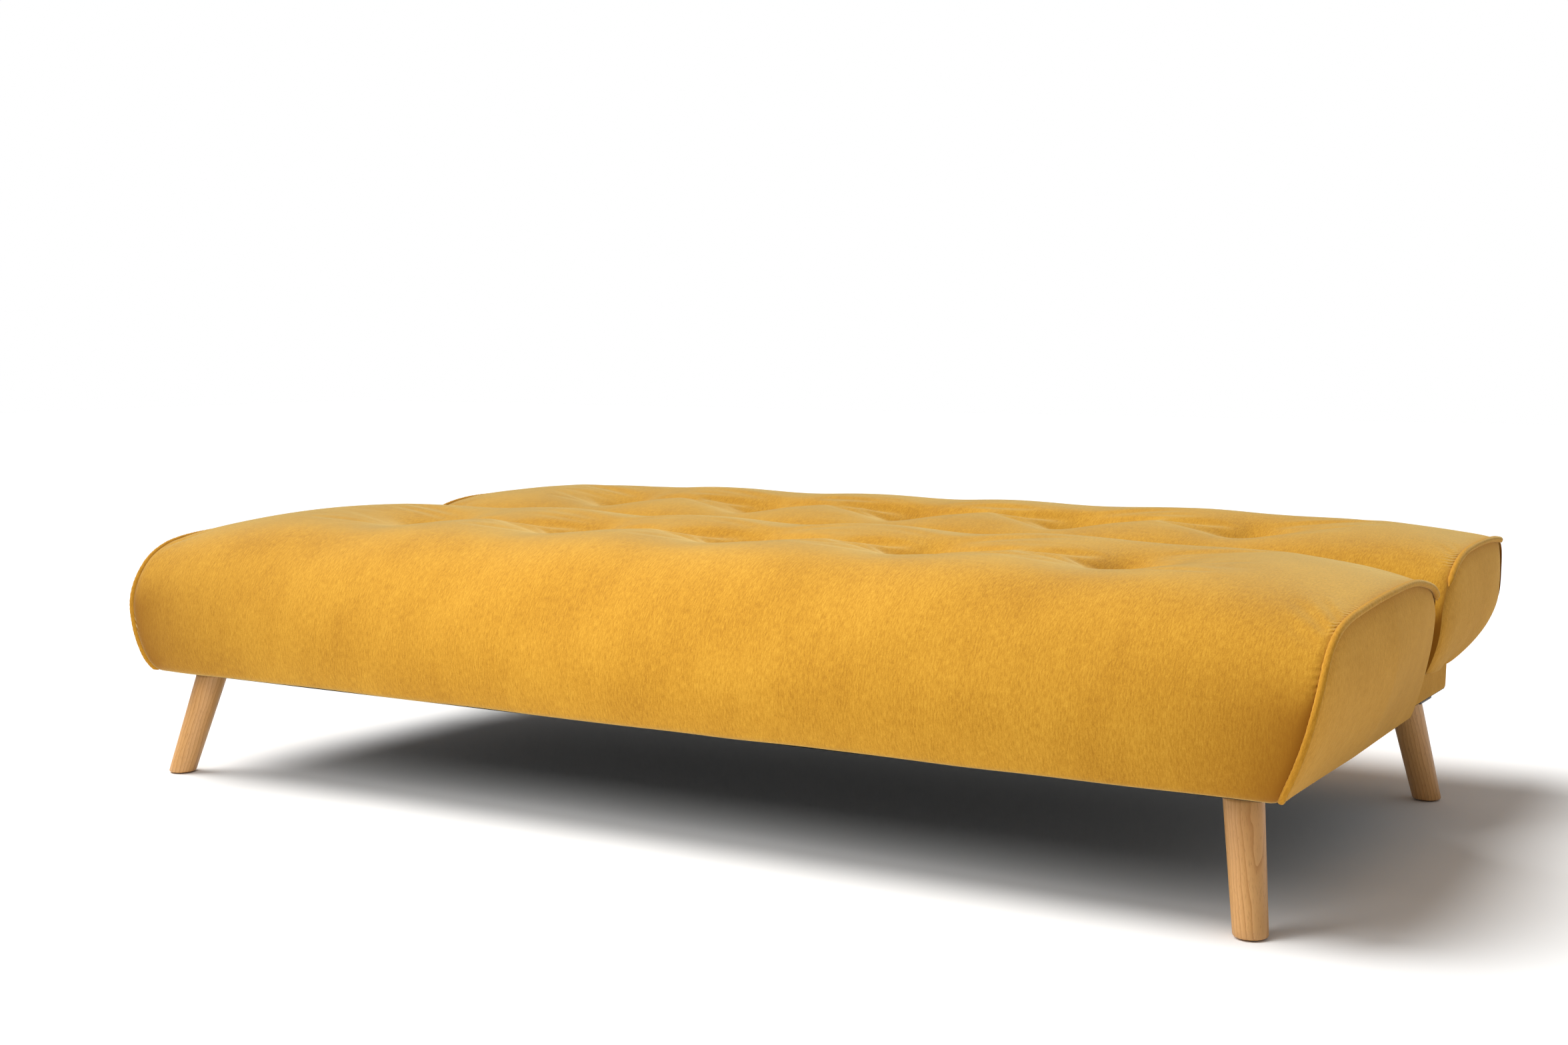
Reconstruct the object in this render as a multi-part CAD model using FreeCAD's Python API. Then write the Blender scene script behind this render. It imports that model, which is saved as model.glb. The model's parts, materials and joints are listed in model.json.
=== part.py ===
"""Click-clack sofa bed on four splayed wooden legs, standing open as a flat bed.

Millimetres, +Z up. The origin is on the floor under the centre of the outline. +X runs
to the right-hand end as seen from the front, and +Y runs back from the front edge.
Three bodies: a base on legs, a seat slab that caps the base, and a back slab. Seat and
back turn on one pair of pins in the crease between them, carried by the base.
Depths are counted back from the front face of the seat and turned to Y by place().
"""
import FreeCAD, Part
import os

Vec = FreeCAD.Vector

# Overall sizes
LENGTH = 1870.0          # over the piping at the two ends
SEAT_DEPTH = 619.0       # front face to rear face of the seat slab
BACK_DEPTH = 456.0       # front face to rear face of the back slab
CREASE_GAP = 6.0         # between the two slabs
LEG_HEIGHT = 156.0       # floor to the underside of the base box
BASE_HEIGHT = 51.0       # height of the base box
SEAT_RISE = 178.0        # crown of the seat above the base
BACK_RISE = 181.0        # crown of the back above the base
PIVOT_RISE = 121.0       # hinge axis above the base
BACK_LIFT = 3.0          # back slab's underside above the base

# Upholstery
COVER = 1.5              # cover fabric
WADDING = 4.0
PIPING_R = 4.5
PIPING_CLEAR = 1.2       # round the piping, in the covers' edges
PIPING_STOP = 36.0       # piping ends this far from the hinge axis
SOFT_GAP = 0.3           # left between curved layers
FIT_GAP = 0.3            # left between the cover and the frame boards
BUTTON_R = 13.0
BUTTON_H = 7.0
BUTTON_EASE = 4.2        # rounding of a button's upper edge
BUTTON_SPACING = 290.0
BUTTON_COUNT = 5
BUTTON_DEPTH = 33.0      # crown to the bottom of a dimple
SEAT_BUTTON_ROW = 313.0  # seat's front face to its row of buttons
BACK_BUTTON_ROW = 205.2  # back's front face to its row of buttons
DIMPLE_BOTTOM_R = 16.0
DIMPLE_MOUTH_R = 46.0
TIE_R = 1.2
ARC_STEPS = 10           # straight lengths of piping to one arc of an edge
CROWN_DROP = 14.0        # ends of the slabs lie this much below their crowns
CROWN_RUN = 170.0        # length of each end over which the crown drops
SEAT_TUCK = 51.0         # seat's ends draw in by this much at the skirt's lower edge
SEAT_TAPER = 10.0        # seat's ends draw in by this much towards the crease
BACK_SHORTER = 15.0      # back's ends inside the seat's, at the crease
BACK_TUCK = 24.0         # back's ends draw in by this much at the underside
BACK_TAPER = 15.0        # back's ends draw in by this much towards the rear
LINING_ENDS = 60.0       # lining under the back: in from the ends
LINING_FRONT = 30.0      # lining's front edge behind the back's front face
LINING_REAR = 110.0      # lining's rear edge ahead of the back's rear face

# Base box
BASE_INSET = 73.0        # slab end to base end
BASE_FRONT = 37.0        # depth of the base's front face
BASE_REAR_INSET = 179.0  # back slab's rear face to the base's rear face
RAIL = 22.0              # thickness of the base rails
CROSS_RAIL = 40.0
WRAP_GAP = 0.1           # fabric wrap to the rails
DUST_COVER = 1.0
DUST_HOLE_R = 16.0       # holes in the dust cover round the leg bolts
LEG_BLOCK = 52.0
LEG_BLOCK_DROP = 4.0     # top of a leg block below the top of the rails

# Seat frame
BOARD = 11.0             # skirt boards of the seat
BOARD_CLEAR = 4.0        # skirt board to base box, on every side
SKIRT_LIP = 2.0          # skirt's lower edge above the base box's underside
FRAME_REST = 1.0         # air under the slabs' frames
FRAME_RAIL_H = 46.0
FRAME_RAIL = 26.0
BACK_RAIL_H = 40.0
BACK_RAIL_LIFT = 31.0    # back frame above the base, over the slab's raised underside
BACK_REAR_RAIL = 300.0   # back slab's front face to its rear rail's rear face
CROSS_DROP = 12.0        # cross rails lie this much below the springs' rails
SPRING_WIRE_R = 1.8
SPRING_COUNT = 11
SPRING_PITCH = 40.0
SPRING_HALF_WIDTH = 22.0
SPRING_START = 4.0       # outer face of a rail to the end of a spring
SPRING_SIDE_GAP = 20.0   # outermost spring to the end rail
PAD = 4.0
SPRING_CLEAR = 0.4

# Legs
LEG_TOP_R = 23.5
LEG_FOOT_R = 20.0
LEG_TOP_INSET = 106.0    # piping end to the leg's centre at its top
LEG_SPLAY_X = 26.0       # how far a foot stands outside its top
LEG_SPLAY_Y = 44.0
FRONT_LEG_DEPTH = 74.0   # depth of a front leg's centre at its top
REAR_LEG_INSET = 108.0   # base's rear face to a rear leg's centre at its top
LEG_PLATE = 3.0
LEG_PLATE_SIDE = 62.0
LEG_BOLT_R = 4.0
LEG_BOLT_IN_LEG = 38.0
LEG_BOLT_ABOVE = 26.0
GLIDE = 2.0
GLIDE_R = 13.0

# Hinges
PLATE = 4.0              # steel of brackets and arms
PLATE_GAP = 1.0
PIN_R = 5.0
PIN_RUN = 0.05           # radial running clearance of an arm on its pin
EYE_R = 11.0             # round end of every plate about the pin
PIN_HEAD_R = 8.0
PIN_HEAD = 3.0
BRACKET_FOOT = 90.0
BRACKET_NECK = 22.0
PLATE_MARGIN = 6.0       # hinge plates stay this far inside the edges of their rails
SEAT_ARM_BOLTS = (104.0, 58.0)   # hinge axis to the bolts of a seat arm
BACK_ARM_BOLTS = (62.0, 112.0)   # hinge axis to the bolts of a back arm
ARM_END = 20.0           # bolt to the end of its arm
ARM_KNEE = 6.0           # nearest bolt to the bend in an arm's upper edge
ARM_WAIST = 5.0          # half height of an arm where it leaves its eye
ARM_SHOULDER = 9.9       # half length of an arm where it leaves its eye
HINGE_BOLT_R = 3.0
HINGE_BOLT_HEAD_R = 6.0
HINGE_BOLT_HEAD = 3.0
HINGE_BOLT_IN = 20.0
BOLT_CLEAR = 0.2
POCKET_CLEAR = 4.0       # air round the hinge plates inside the slabs

# Worked out from the sizes above
HALF = LENGTH / 2 - PIPING_R
BACK_START = SEAT_DEPTH + CREASE_GAP
TOTAL = BACK_START + BACK_DEPTH
BASE_TOP = LEG_HEIGHT + BASE_HEIGHT
SKIRT_Z = LEG_HEIGHT + SKIRT_LIP
OVERCUT = 1.0            # cutting tools reach this far past thin pieces
OVERSHOOT = 50.0         # and this far past thick ones
SEAT_TOP = BASE_TOP + SEAT_RISE
BACK_TOP = BASE_TOP + BACK_RISE
PIVOT_DEPTH = SEAT_DEPTH + CREASE_GAP / 2
PIVOT_Z = BASE_TOP + PIVOT_RISE
BASE_HALF = HALF - BASE_INSET + PIPING_R
BASE_REAR = TOTAL - BASE_REAR_INSET
SEAT_FRAME_Z = BASE_TOP + FRAME_REST
SEAT_FRAME_TOP = SEAT_FRAME_Z + FRAME_RAIL_H
SEAT_PAD_Z = SEAT_FRAME_TOP + 2 * SPRING_WIRE_R + SPRING_CLEAR
BACK_UNDER = BASE_TOP + BACK_LIFT
BACK_FRAME_Z = BASE_TOP + BACK_RAIL_LIFT
BACK_FRAME_TOP = BACK_FRAME_Z + BACK_RAIL_H
BACK_PAD_Z = BACK_FRAME_TOP + 2 * SPRING_WIRE_R + SPRING_CLEAR
PIPING_GAP = PIPING_R + PIPING_CLEAR
FOAM_INSET = COVER + SOFT_GAP + WADDING + SOFT_GAP
SKIRT_INNER = BASE_HALF + BOARD_CLEAR
SKIRT_OUTER = SKIRT_INNER + BOARD
BOARD_REAR = BASE_FRONT - BOARD_CLEAR
BOARD_FRONT = BOARD_REAR - BOARD
BRACKET_X = BASE_HALF - COVER - RAIL - PLATE
SEAT_ARM_X = BRACKET_X + PLATE + PLATE_GAP
BACK_ARM_X = BRACKET_X - PLATE_GAP - PLATE
BUTTON_XS = [BUTTON_SPACING * (i - (BUTTON_COUNT - 1) / 2) for i in range(BUTTON_COUNT)]
SEAT_BUTTON_DEPTH = SEAT_BUTTON_ROW
BACK_BUTTON_DEPTH = BACK_START + BACK_BUTTON_ROW
SIDES = (("left", -1), ("right", 1))
FAR = 3 * LENGTH


def place(depth):
    """Y of a depth counted back from the seat's front face."""
    return depth - TOTAL / 2


def save(node, shapes):
    """Write one sub-part: a solid, or several like solids in one node."""
    solids = [solid for shape in shapes for solid in shape.Solids]
    shape = solids[0] if len(solids) == 1 else Part.makeCompound(solids)
    if not shape.isValid():
        raise ValueError(node + " is not a valid shape")
    shape.exportStep("parts/" + node + ".step")


def block(x0, x1, depth0, depth1, z0, z1):
    size = (x1 - x0, depth1 - depth0, z1 - z0)
    return Part.makeBox(*size, Vec(x0, place(depth0), z0))


def mirrored(shape):
    """The same piece at the other end of the sofa."""
    return shape.mirror(Vec(0, 0, 0), Vec(1, 0, 0))


def sided(shape, side):
    return shape if side > 0 else mirrored(shape)


def both(shape):
    return [mirrored(shape), shape]


def rod(start, direction, radius, length):
    return Part.makeCylinder(radius, length, start, direction)


def outline(points, to_vector):
    """Closed wire. A pair is a straight run's end, two pairs are an arc's middle and end."""
    here = to_vector(*points[0])
    first = here
    edges = []
    for point in points[1:]:
        if isinstance(point[0], tuple):
            middle, end = [to_vector(*pair) for pair in point]
            edges.append(Part.Arc(here, middle, end).toShape())
        else:
            end = to_vector(*point)
            if end.distanceToPoint(here) < 1e-6:
                continue
            edges.append(Part.LineSegment(here, end).toShape())
        here = end
    if here.distanceToPoint(first) > 1e-6:
        edges.append(Part.LineSegment(here, first).toShape())
    return Part.Wire(edges)


def prism(wire, inset, run):
    """The wire's area, drawn in by inset all round and swept along run."""
    if inset > 0:
        wire = wire.makeOffset2D(-inset)
    return Part.Face(wire).extrude(run)


def both_ends(points):
    """A half outline from the centre outwards, closed by its mirror image."""
    def flip(point):
        if isinstance(point[0], tuple):
            return tuple((-x, z) for x, z in point)
        return (-point[0], point[1])
    back = []
    ends = [point[1] if isinstance(point[0], tuple) else point for point in points]
    for i in range(len(points) - 1, 0, -1):
        here, before = points[i], ends[i - 1]
        if isinstance(here[0], tuple):
            back.append((flip(here[0]), flip(before)))
        else:
            back.append(flip(before))
    return points + [flip(ends[-1])] + back


class Slab:
    """An upholstered slab: a depth profile, the curve of its ends, its plan and its crown."""

    def __init__(self, profile, end_curve, plan, crown, button_depth, crown_z):
        self.profile = outline(profile, lambda d, z: Vec(-FAR / 2, place(d), z))
        self.end_curve = outline(both_ends(end_curve), lambda x, z: Vec(x, -FAR / 2, z))
        self.plan = outline(both_ends(plan), lambda x, d: Vec(x, place(d), -FAR / 2))
        self.crown = outline(both_ends(crown), lambda x, z: Vec(x, -FAR / 2, z))
        self.button_depth = button_depth
        self.button_z = crown_z - BUTTON_DEPTH

    def ends(self, inset):
        """Everything between the two end surfaces."""
        curve = prism(self.end_curve, inset, Vec(0, FAR, 0))
        return curve.common(prism(self.plan, inset, Vec(0, 0, FAR)))

    def dimples(self, inset):
        """Funnel under each button, with the hole for its tie, turned about its axis."""
        hole_r = TIE_R + SOFT_GAP
        height = BUTTON_DEPTH + inset + WADDING
        half_section = [(0, -FAR / 10), (hole_r, -FAR / 10), (hole_r, 0), (DIMPLE_BOTTOM_R, 0),
                        (DIMPLE_MOUTH_R, height), (0, height)]
        pieces = []
        for x in BUTTON_XS:
            low = Vec(x, place(self.button_depth), self.button_z - inset)
            section = outline(half_section, lambda r, z: low + Vec(r, 0, z))
            pieces.append(Part.Face(section).revolve(low, Vec(0, 0, 1), 360))
        return pieces

    def body(self, inset, end_inset):
        """The slab drawn in by inset on its wrapped faces and end_inset at its ends."""
        shape = prism(self.profile, inset, Vec(FAR, 0, 0))
        shape = shape.common(prism(self.crown, inset, Vec(0, FAR, 0)))
        shape = shape.common(self.ends(end_inset))
        for dimple in self.dimples(inset):
            shape = shape.cut(dimple)
        return shape

    def buttons(self):
        lift = Vec(0, 0, self.button_z)
        discs = []
        for x in BUTTON_XS:
            foot = Vec(x, place(self.button_depth), 0) + lift
            disc = rod(foot, Vec(0, 0, 1), BUTTON_R, BUTTON_H)
            top_edges = [e for e in disc.Edges if e.BoundBox.ZMin > foot.z + BUTTON_H / 2]
            discs.append(disc.makeFillet(BUTTON_EASE, top_edges))
        return discs

    def ties(self, low_z):
        """A cord from the underside of each button down to the springs' level."""
        drop = self.button_z - low_z
        feet = [Vec(x, place(self.button_depth), low_z) for x in BUTTON_XS]
        return [rod(foot, Vec(0, 0, 1), TIE_R, drop) for foot in feet]

    def corner_points(self, crown_end_z):
        """Points along the right-hand edge of the wrapped faces, away from the crease."""
        ends = self.ends(0)
        points = []
        for edge in self.profile.OrderedEdges[:-1]:
            steps = ARC_STEPS if isinstance(edge.Curve, Part.Circle) else 1
            for point in edge.discretize(steps + 1)[0 if not points else 1:]:
                z = min(point.z, crown_end_z)
                near = abs(point.y - place(PIVOT_DEPTH)) < PIPING_STOP
                if not near:
                    across = Part.LineSegment(Vec(0, point.y, z), Vec(FAR / 2, point.y, z))
                    x = ends.common(across.toShape()).BoundBox.XMax
                    points.append(Vec(x, point.y, z))
        return points

    def piping(self, crown_end_z):
        """Round bead along the right-hand edge: short straight lengths with ball joints."""
        points = self.corner_points(crown_end_z)
        bead = Part.makeSphere(PIPING_R, points[0])
        for here, there in zip(points, points[1:]):
            run = there - here
            if run.Length > PIPING_R / 2:
                bead = bead.fuse(rod(here, run, PIPING_R, run.Length))
                bead = bead.fuse(Part.makeSphere(PIPING_R, there))
        return bead


# Seat slab: profile from the skirt's front lower edge, round the front and over the top.
SEAT_PROFILE = [
    (18.0, SKIRT_Z),
    ((4.0, SKIRT_Z + 18.0), (0.0, SKIRT_Z + 45.0)),
    (0.0, SEAT_TOP - 130.0),
    ((26.0, SEAT_TOP - 48.0), (102.0, SEAT_TOP - 11.0)),
    ((SEAT_DEPTH / 2, SEAT_TOP), (SEAT_DEPTH - 148.0, SEAT_TOP - 4.0)),
    ((SEAT_DEPTH - 84.0, PIVOT_Z + 38.0), (SEAT_DEPTH - 42.0, PIVOT_Z + 17.0)),
    (SEAT_DEPTH, PIVOT_Z - 2.0),
    (SEAT_DEPTH, SKIRT_Z),
]
SEAT_END = [
    (0.0, SKIRT_Z - OVERSHOOT),
    (HALF - SEAT_TUCK, SKIRT_Z - OVERSHOOT),
    (HALF - SEAT_TUCK, SKIRT_Z - OVERCUT),
    ((HALF - 15.0, SKIRT_Z + 70.0), (HALF, SKIRT_Z + 150.0)),
    (HALF, SEAT_TOP + OVERSHOOT),
    (0.0, SEAT_TOP + OVERSHOOT),
]
SEAT_PLAN = [
    (0.0, -OVERSHOOT),
    (HALF, -OVERSHOOT),
    (HALF, SEAT_DEPTH / 2),
    (HALF - SEAT_TAPER, SEAT_DEPTH),
    (HALF - SEAT_TAPER, SEAT_DEPTH + OVERSHOOT),
    (0.0, SEAT_DEPTH + OVERSHOOT),
]
SEAT_CROWN = [
    (0.0, SKIRT_Z - OVERSHOOT),
    (HALF + OVERSHOOT, SKIRT_Z - OVERSHOOT),
    (HALF + OVERSHOOT, SEAT_TOP - CROWN_DROP),
    (HALF, SEAT_TOP - CROWN_DROP),
    (HALF - CROWN_RUN, SEAT_TOP + 2.0),
    (0.0, SEAT_TOP + 2.0),
]

# Back slab: profile from the foot of its front face, over the top and round underneath.
BACK_PROFILE = [
    (BACK_START, BACK_UNDER),
    (BACK_START, PIVOT_Z - 2.0),
    ((BACK_START + 28.0, PIVOT_Z + 24.0), (BACK_START + 75.0, PIVOT_Z + 47.0)),
    ((BACK_START + 220.0, BACK_TOP - 3.0), (TOTAL - 76.0, BACK_TOP)),
    ((TOTAL - 20.0, BACK_TOP - 24.0), (TOTAL, BACK_TOP - 70.0)),
    (TOTAL, BACK_UNDER + 90.0),
    ((TOTAL - 33.0, BACK_UNDER + 52.0), (TOTAL - 100.0, BACK_UNDER + 26.0)),
    (TOTAL - 286.0, BACK_UNDER),
]
BACK_HALF = HALF - BACK_SHORTER
BACK_END = [
    (0.0, BACK_UNDER - OVERSHOOT),
    (BACK_HALF - BACK_TUCK, BACK_UNDER - OVERSHOOT),
    (BACK_HALF - BACK_TUCK, BACK_UNDER - OVERCUT),
    ((BACK_HALF - 7.0, BACK_UNDER + 36.0), (BACK_HALF, BACK_UNDER + 82.0)),
    (BACK_HALF, BACK_TOP + OVERSHOOT),
    (0.0, BACK_TOP + OVERSHOOT),
]
BACK_PLAN = [
    (0.0, BACK_START - OVERSHOOT),
    (BACK_HALF, BACK_START - OVERSHOOT),
    (BACK_HALF, BACK_START),
    (BACK_HALF - BACK_TAPER, TOTAL + OVERSHOOT),
    (0.0, TOTAL + OVERSHOOT),
]
BACK_CROWN = [
    (0.0, BACK_UNDER - OVERSHOOT),
    (HALF + OVERSHOOT, BACK_UNDER - OVERSHOOT),
    (HALF + OVERSHOOT, BACK_TOP - CROWN_DROP),
    (BACK_HALF, BACK_TOP - CROWN_DROP),
    (BACK_HALF - CROWN_RUN, BACK_TOP + 2.0),
    (0.0, BACK_TOP + 2.0),
]


def save_end_panels(slab_name, panels):
    right = panels.common(block(0, FAR / 2, -FAR / 2, FAR / 2, -FAR, FAR))
    for name, side in SIDES:
        save(slab_name + "_end_panel_" + name, [sided(right, side)])


def save_piping(slab_name, bead):
    for name, side in SIDES:
        save(slab_name + "_piping_" + name, [sided(bead, side)])


def make_slabs():
    seat = Slab(SEAT_PROFILE, SEAT_END, SEAT_PLAN, SEAT_CROWN, SEAT_BUTTON_DEPTH, SEAT_TOP)
    back = Slab(BACK_PROFILE, BACK_END, BACK_PLAN, BACK_CROWN, BACK_BUTTON_DEPTH, BACK_TOP)
    return seat, back


def pivot(x, along=0.0, up=0.0):
    """A point near the hinge axis."""
    return Vec(x, place(PIVOT_DEPTH + along), PIVOT_Z + up)


def hinge_plate(x, shape_points, eye_hole):
    """A steel plate in a Y-Z plane with a round eye about the hinge axis."""
    points = [pivot(x, along, up) for along, up in shape_points]
    flat = Part.Face(Part.makePolygon(points + points[:1])).extrude(Vec(PLATE, 0, 0))
    plate = flat.fuse(rod(pivot(x), Vec(1, 0, 0), EYE_R, PLATE))
    eye = rod(pivot(x - OVERCUT), Vec(1, 0, 0), eye_hole, PLATE + 2 * OVERCUT)
    return plate.cut(eye).removeSplitter()


def hinge_bolt(x, direction, depth, z):
    """Round-headed bolt; x is the face that the head lies on."""
    start = Vec(x, place(depth), z)
    away = Vec(-direction, 0, 0)
    shank = rod(start, Vec(direction, 0, 0), HINGE_BOLT_R, HINGE_BOLT_IN)
    return shank.fuse(rod(start, away, HINGE_BOLT_HEAD_R, HINGE_BOLT_HEAD))


def bolt_holes(x, spots):
    """Clearance holes for bolts that run along X through plates and rails."""
    reach = PLATE + FRAME_RAIL * 2
    start = [Vec(x - reach / 2, place(depth), z) for depth, z in spots]
    return [rod(s, Vec(1, 0, 0), HINGE_BOLT_R + BOLT_CLEAR, reach) for s in start]


BRACKET_SPOTS = [(PIVOT_DEPTH + s * BRACKET_FOOT / 3, BASE_TOP - BASE_HEIGHT / 2) for s in (-1, 1)]
SEAT_ARM_SPOTS = [(PIVOT_DEPTH - a, SEAT_FRAME_Z + FRAME_RAIL_H / 2) for a in SEAT_ARM_BOLTS]
BACK_ARM_SPOTS = [(PIVOT_DEPTH + a, BACK_FRAME_Z + BACK_RAIL_H / 2) for a in BACK_ARM_BOLTS]


def make_hinges():
    """Brackets on the base, arms on the two slabs, and the pins they turn on."""
    neck = BRACKET_NECK / 2
    foot_top = BASE_TOP - PLATE_MARGIN - PIVOT_Z
    foot_low = LEG_HEIGHT + PLATE_MARGIN - PIVOT_Z
    foot = BRACKET_FOOT / 2
    bracket = hinge_plate(BRACKET_X, [
        (-neck, 0.0), (-neck, foot_top), (-foot, foot_top), (-foot, foot_low),
        (foot, foot_low), (foot, foot_top), (neck, foot_top), (neck, 0.0)], PIN_R)
    bracket = bracket.cut(bolt_holes(BRACKET_X, BRACKET_SPOTS))
    rail_top = SEAT_FRAME_TOP - PLATE_MARGIN - PIVOT_Z
    rail_low = SEAT_FRAME_Z + PLATE_MARGIN - PIVOT_Z
    far, near = SEAT_ARM_BOLTS
    seat_arm = hinge_plate(SEAT_ARM_X, [
        (-ARM_SHOULDER, ARM_WAIST), (ARM_KNEE - near, rail_top), (-far - ARM_END, rail_top),
        (-far - ARM_END, rail_low), (ARM_END - near, rail_low), (ARM_SHOULDER, -ARM_WAIST)],
        PIN_R + PIN_RUN)
    seat_arm = seat_arm.cut(bolt_holes(SEAT_ARM_X, SEAT_ARM_SPOTS))
    rail_top = BACK_FRAME_TOP - PLATE_MARGIN - PIVOT_Z
    rail_low = BACK_FRAME_Z + PLATE_MARGIN - PIVOT_Z
    near, far = BACK_ARM_BOLTS
    back_arm = hinge_plate(BACK_ARM_X, [
        (ARM_SHOULDER, ARM_WAIST), (near - ARM_KNEE, rail_top), (far + ARM_END, rail_top),
        (far + ARM_END, rail_low), (near - ARM_END, rail_low), (-ARM_SHOULDER, -ARM_WAIST)],
        PIN_R + PIN_RUN)
    back_arm = back_arm.cut(bolt_holes(BACK_ARM_X, BACK_ARM_SPOTS))
    for name, side in SIDES:
        save("hinge_bracket_" + name, [sided(bracket, side)])
        save("seat_arm_" + name, [sided(seat_arm, side)])
        save("back_arm_" + name, [sided(back_arm, side)])

    pin_start = BACK_ARM_X - PLATE_GAP - PIN_HEAD
    pin_end = SEAT_ARM_X + PLATE + PLATE_GAP + PIN_HEAD
    pin = rod(pivot(pin_start), Vec(1, 0, 0), PIN_R, pin_end - pin_start)
    for start in (pin_start, pin_end - PIN_HEAD):
        pin = pin.fuse(rod(pivot(start), Vec(1, 0, 0), PIN_HEAD_R, PIN_HEAD))
    save("hinge_pins", both(pin))

    bracket_bolts = [hinge_bolt(BRACKET_X, 1, *spot) for spot in BRACKET_SPOTS]
    save("hinge_bracket_bolts", [b for bolt in bracket_bolts for b in both(bolt)])
    seat_bolts = [hinge_bolt(SEAT_ARM_X, 1, *spot) for spot in SEAT_ARM_SPOTS]
    save("seat_arm_bolts", [b for bolt in seat_bolts for b in both(bolt)])
    back_bolts = [hinge_bolt(BACK_ARM_X + PLATE, -1, *spot) for spot in BACK_ARM_SPOTS]
    save("back_arm_bolts", [b for bolt in back_bolts for b in both(bolt)])


def leg_axis(rear):
    """Top centre and foot centre of a right-hand leg."""
    x = LENGTH / 2 - LEG_TOP_INSET
    depth = BASE_REAR - REAR_LEG_INSET if rear else FRONT_LEG_DEPTH
    splay = LEG_SPLAY_Y if rear else -LEG_SPLAY_Y
    top = Vec(x, place(depth), LEG_HEIGHT - LEG_PLATE)
    foot = Vec(x + LEG_SPLAY_X, place(depth + splay), 0)
    return top, foot


def make_legs():
    plates, bolts, glides, blocks = [], [], [], []
    for rear in (False, True):
        top, foot = leg_axis(rear)
        run = foot - top
        run.normalize()
        slope = top - foot
        length = slope.Length
        taper = (LEG_TOP_R - LEG_FOOT_R) / length
        spare = taper * OVERSHOOT
        cone = Part.makeCone(LEG_FOOT_R - spare, LEG_TOP_R + spare,
                             length + 2 * OVERSHOOT, foot + run * OVERSHOOT, run * -1)
        slice_box = Part.makeBox(FAR, FAR, top.z - GLIDE, Vec(-FAR / 2, -FAR / 2, GLIDE))
        bolt_foot = top + run * LEG_BOLT_IN_LEG
        bolt = rod(bolt_foot, run * -1, LEG_BOLT_R, LEG_BOLT_IN_LEG + LEG_BOLT_ABOVE)
        leg = cone.common(slice_box).cut(bolt)
        bolt_hole = rod(bolt_foot, run * -1, LEG_BOLT_R + BOLT_CLEAR, LEG_BOLT_IN_LEG + 2 * LEG_BLOCK)
        for name, side in SIDES:
            save("leg_%s_%s" % ("rear" if rear else "front", name), [sided(leg, side)])
        half = LEG_PLATE_SIDE / 2
        plate = Part.makeBox(LEG_PLATE_SIDE, LEG_PLATE_SIDE, LEG_PLATE,
                             Vec(top.x - half, top.y - half, top.z))
        plates += both(plate.cut(bolt_hole))
        bolts += both(bolt)
        glides += both(rod(Vec(foot.x, foot.y, 0), Vec(0, 0, 1), GLIDE_R, GLIDE))
        wall = BASE_HALF - COVER - RAIL
        y_low = place(BASE_FRONT + COVER + RAIL) if not rear else top.y - LEG_BLOCK / 2
        tall = BASE_HEIGHT - DUST_COVER - COVER - LEG_BLOCK_DROP
        corner = Vec(wall - LEG_BLOCK, y_low, LEG_HEIGHT + DUST_COVER)
        blocks += both(Part.makeBox(LEG_BLOCK, LEG_BLOCK, tall, corner).cut(bolt_hole))
    save("leg_plates", plates)
    save("leg_bolts", bolts)
    save("leg_glides", glides)
    save("base_leg_blocks", blocks)
    return bolts


def make_base():
    """Timber box on the legs, wrapped in the cover fabric and closed below."""
    low = LEG_HEIGHT + DUST_COVER
    high = BASE_TOP - COVER
    outer_x = BASE_HALF - COVER
    inner_x = outer_x - RAIL
    front = BASE_FRONT + COVER
    rear = BASE_REAR - COVER
    save("base_front_rail", [block(-outer_x, outer_x, front, front + RAIL, low, high)])
    save("base_rear_rail", [block(-outer_x, outer_x, rear - RAIL, rear, low, high)])
    end_rail = block(inner_x, outer_x, front + RAIL, rear - RAIL, low, high)
    save("base_end_rails", both(end_rail.cut(bolt_holes(inner_x, BRACKET_SPOTS))))
    spread = inner_x / 3
    cross = [block(x - CROSS_RAIL / 2, x + CROSS_RAIL / 2, front + RAIL, rear - RAIL, low, high)
             for x in (-spread, spread)]
    save("base_cross_rails", cross)
    wrap = block(-BASE_HALF, BASE_HALF, BASE_FRONT, BASE_REAR, low, BASE_TOP)
    hollow = block(-outer_x - WRAP_GAP, outer_x + WRAP_GAP, front - WRAP_GAP, rear + WRAP_GAP,
                   low - OVERCUT, high + WRAP_GAP)
    opening = block(-inner_x, inner_x, front + RAIL, rear - RAIL, high, BASE_TOP + OVERCUT)
    save("base_cover", [wrap.cut(hollow).cut(opening)])
    sheet = block(-outer_x, outer_x, front, rear, LEG_HEIGHT, low)
    holes = []
    for bolt in make_legs():
        middle = bolt.BoundBox.Center
        foot = Vec(middle.x, middle.y, LEG_HEIGHT - OVERCUT)
        holes.append(rod(foot, Vec(0, 0, 1), DUST_HOLE_R, DUST_COVER + 2 * OVERCUT))
    save("base_dust_cover", [sheet.cut(holes)])


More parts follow.
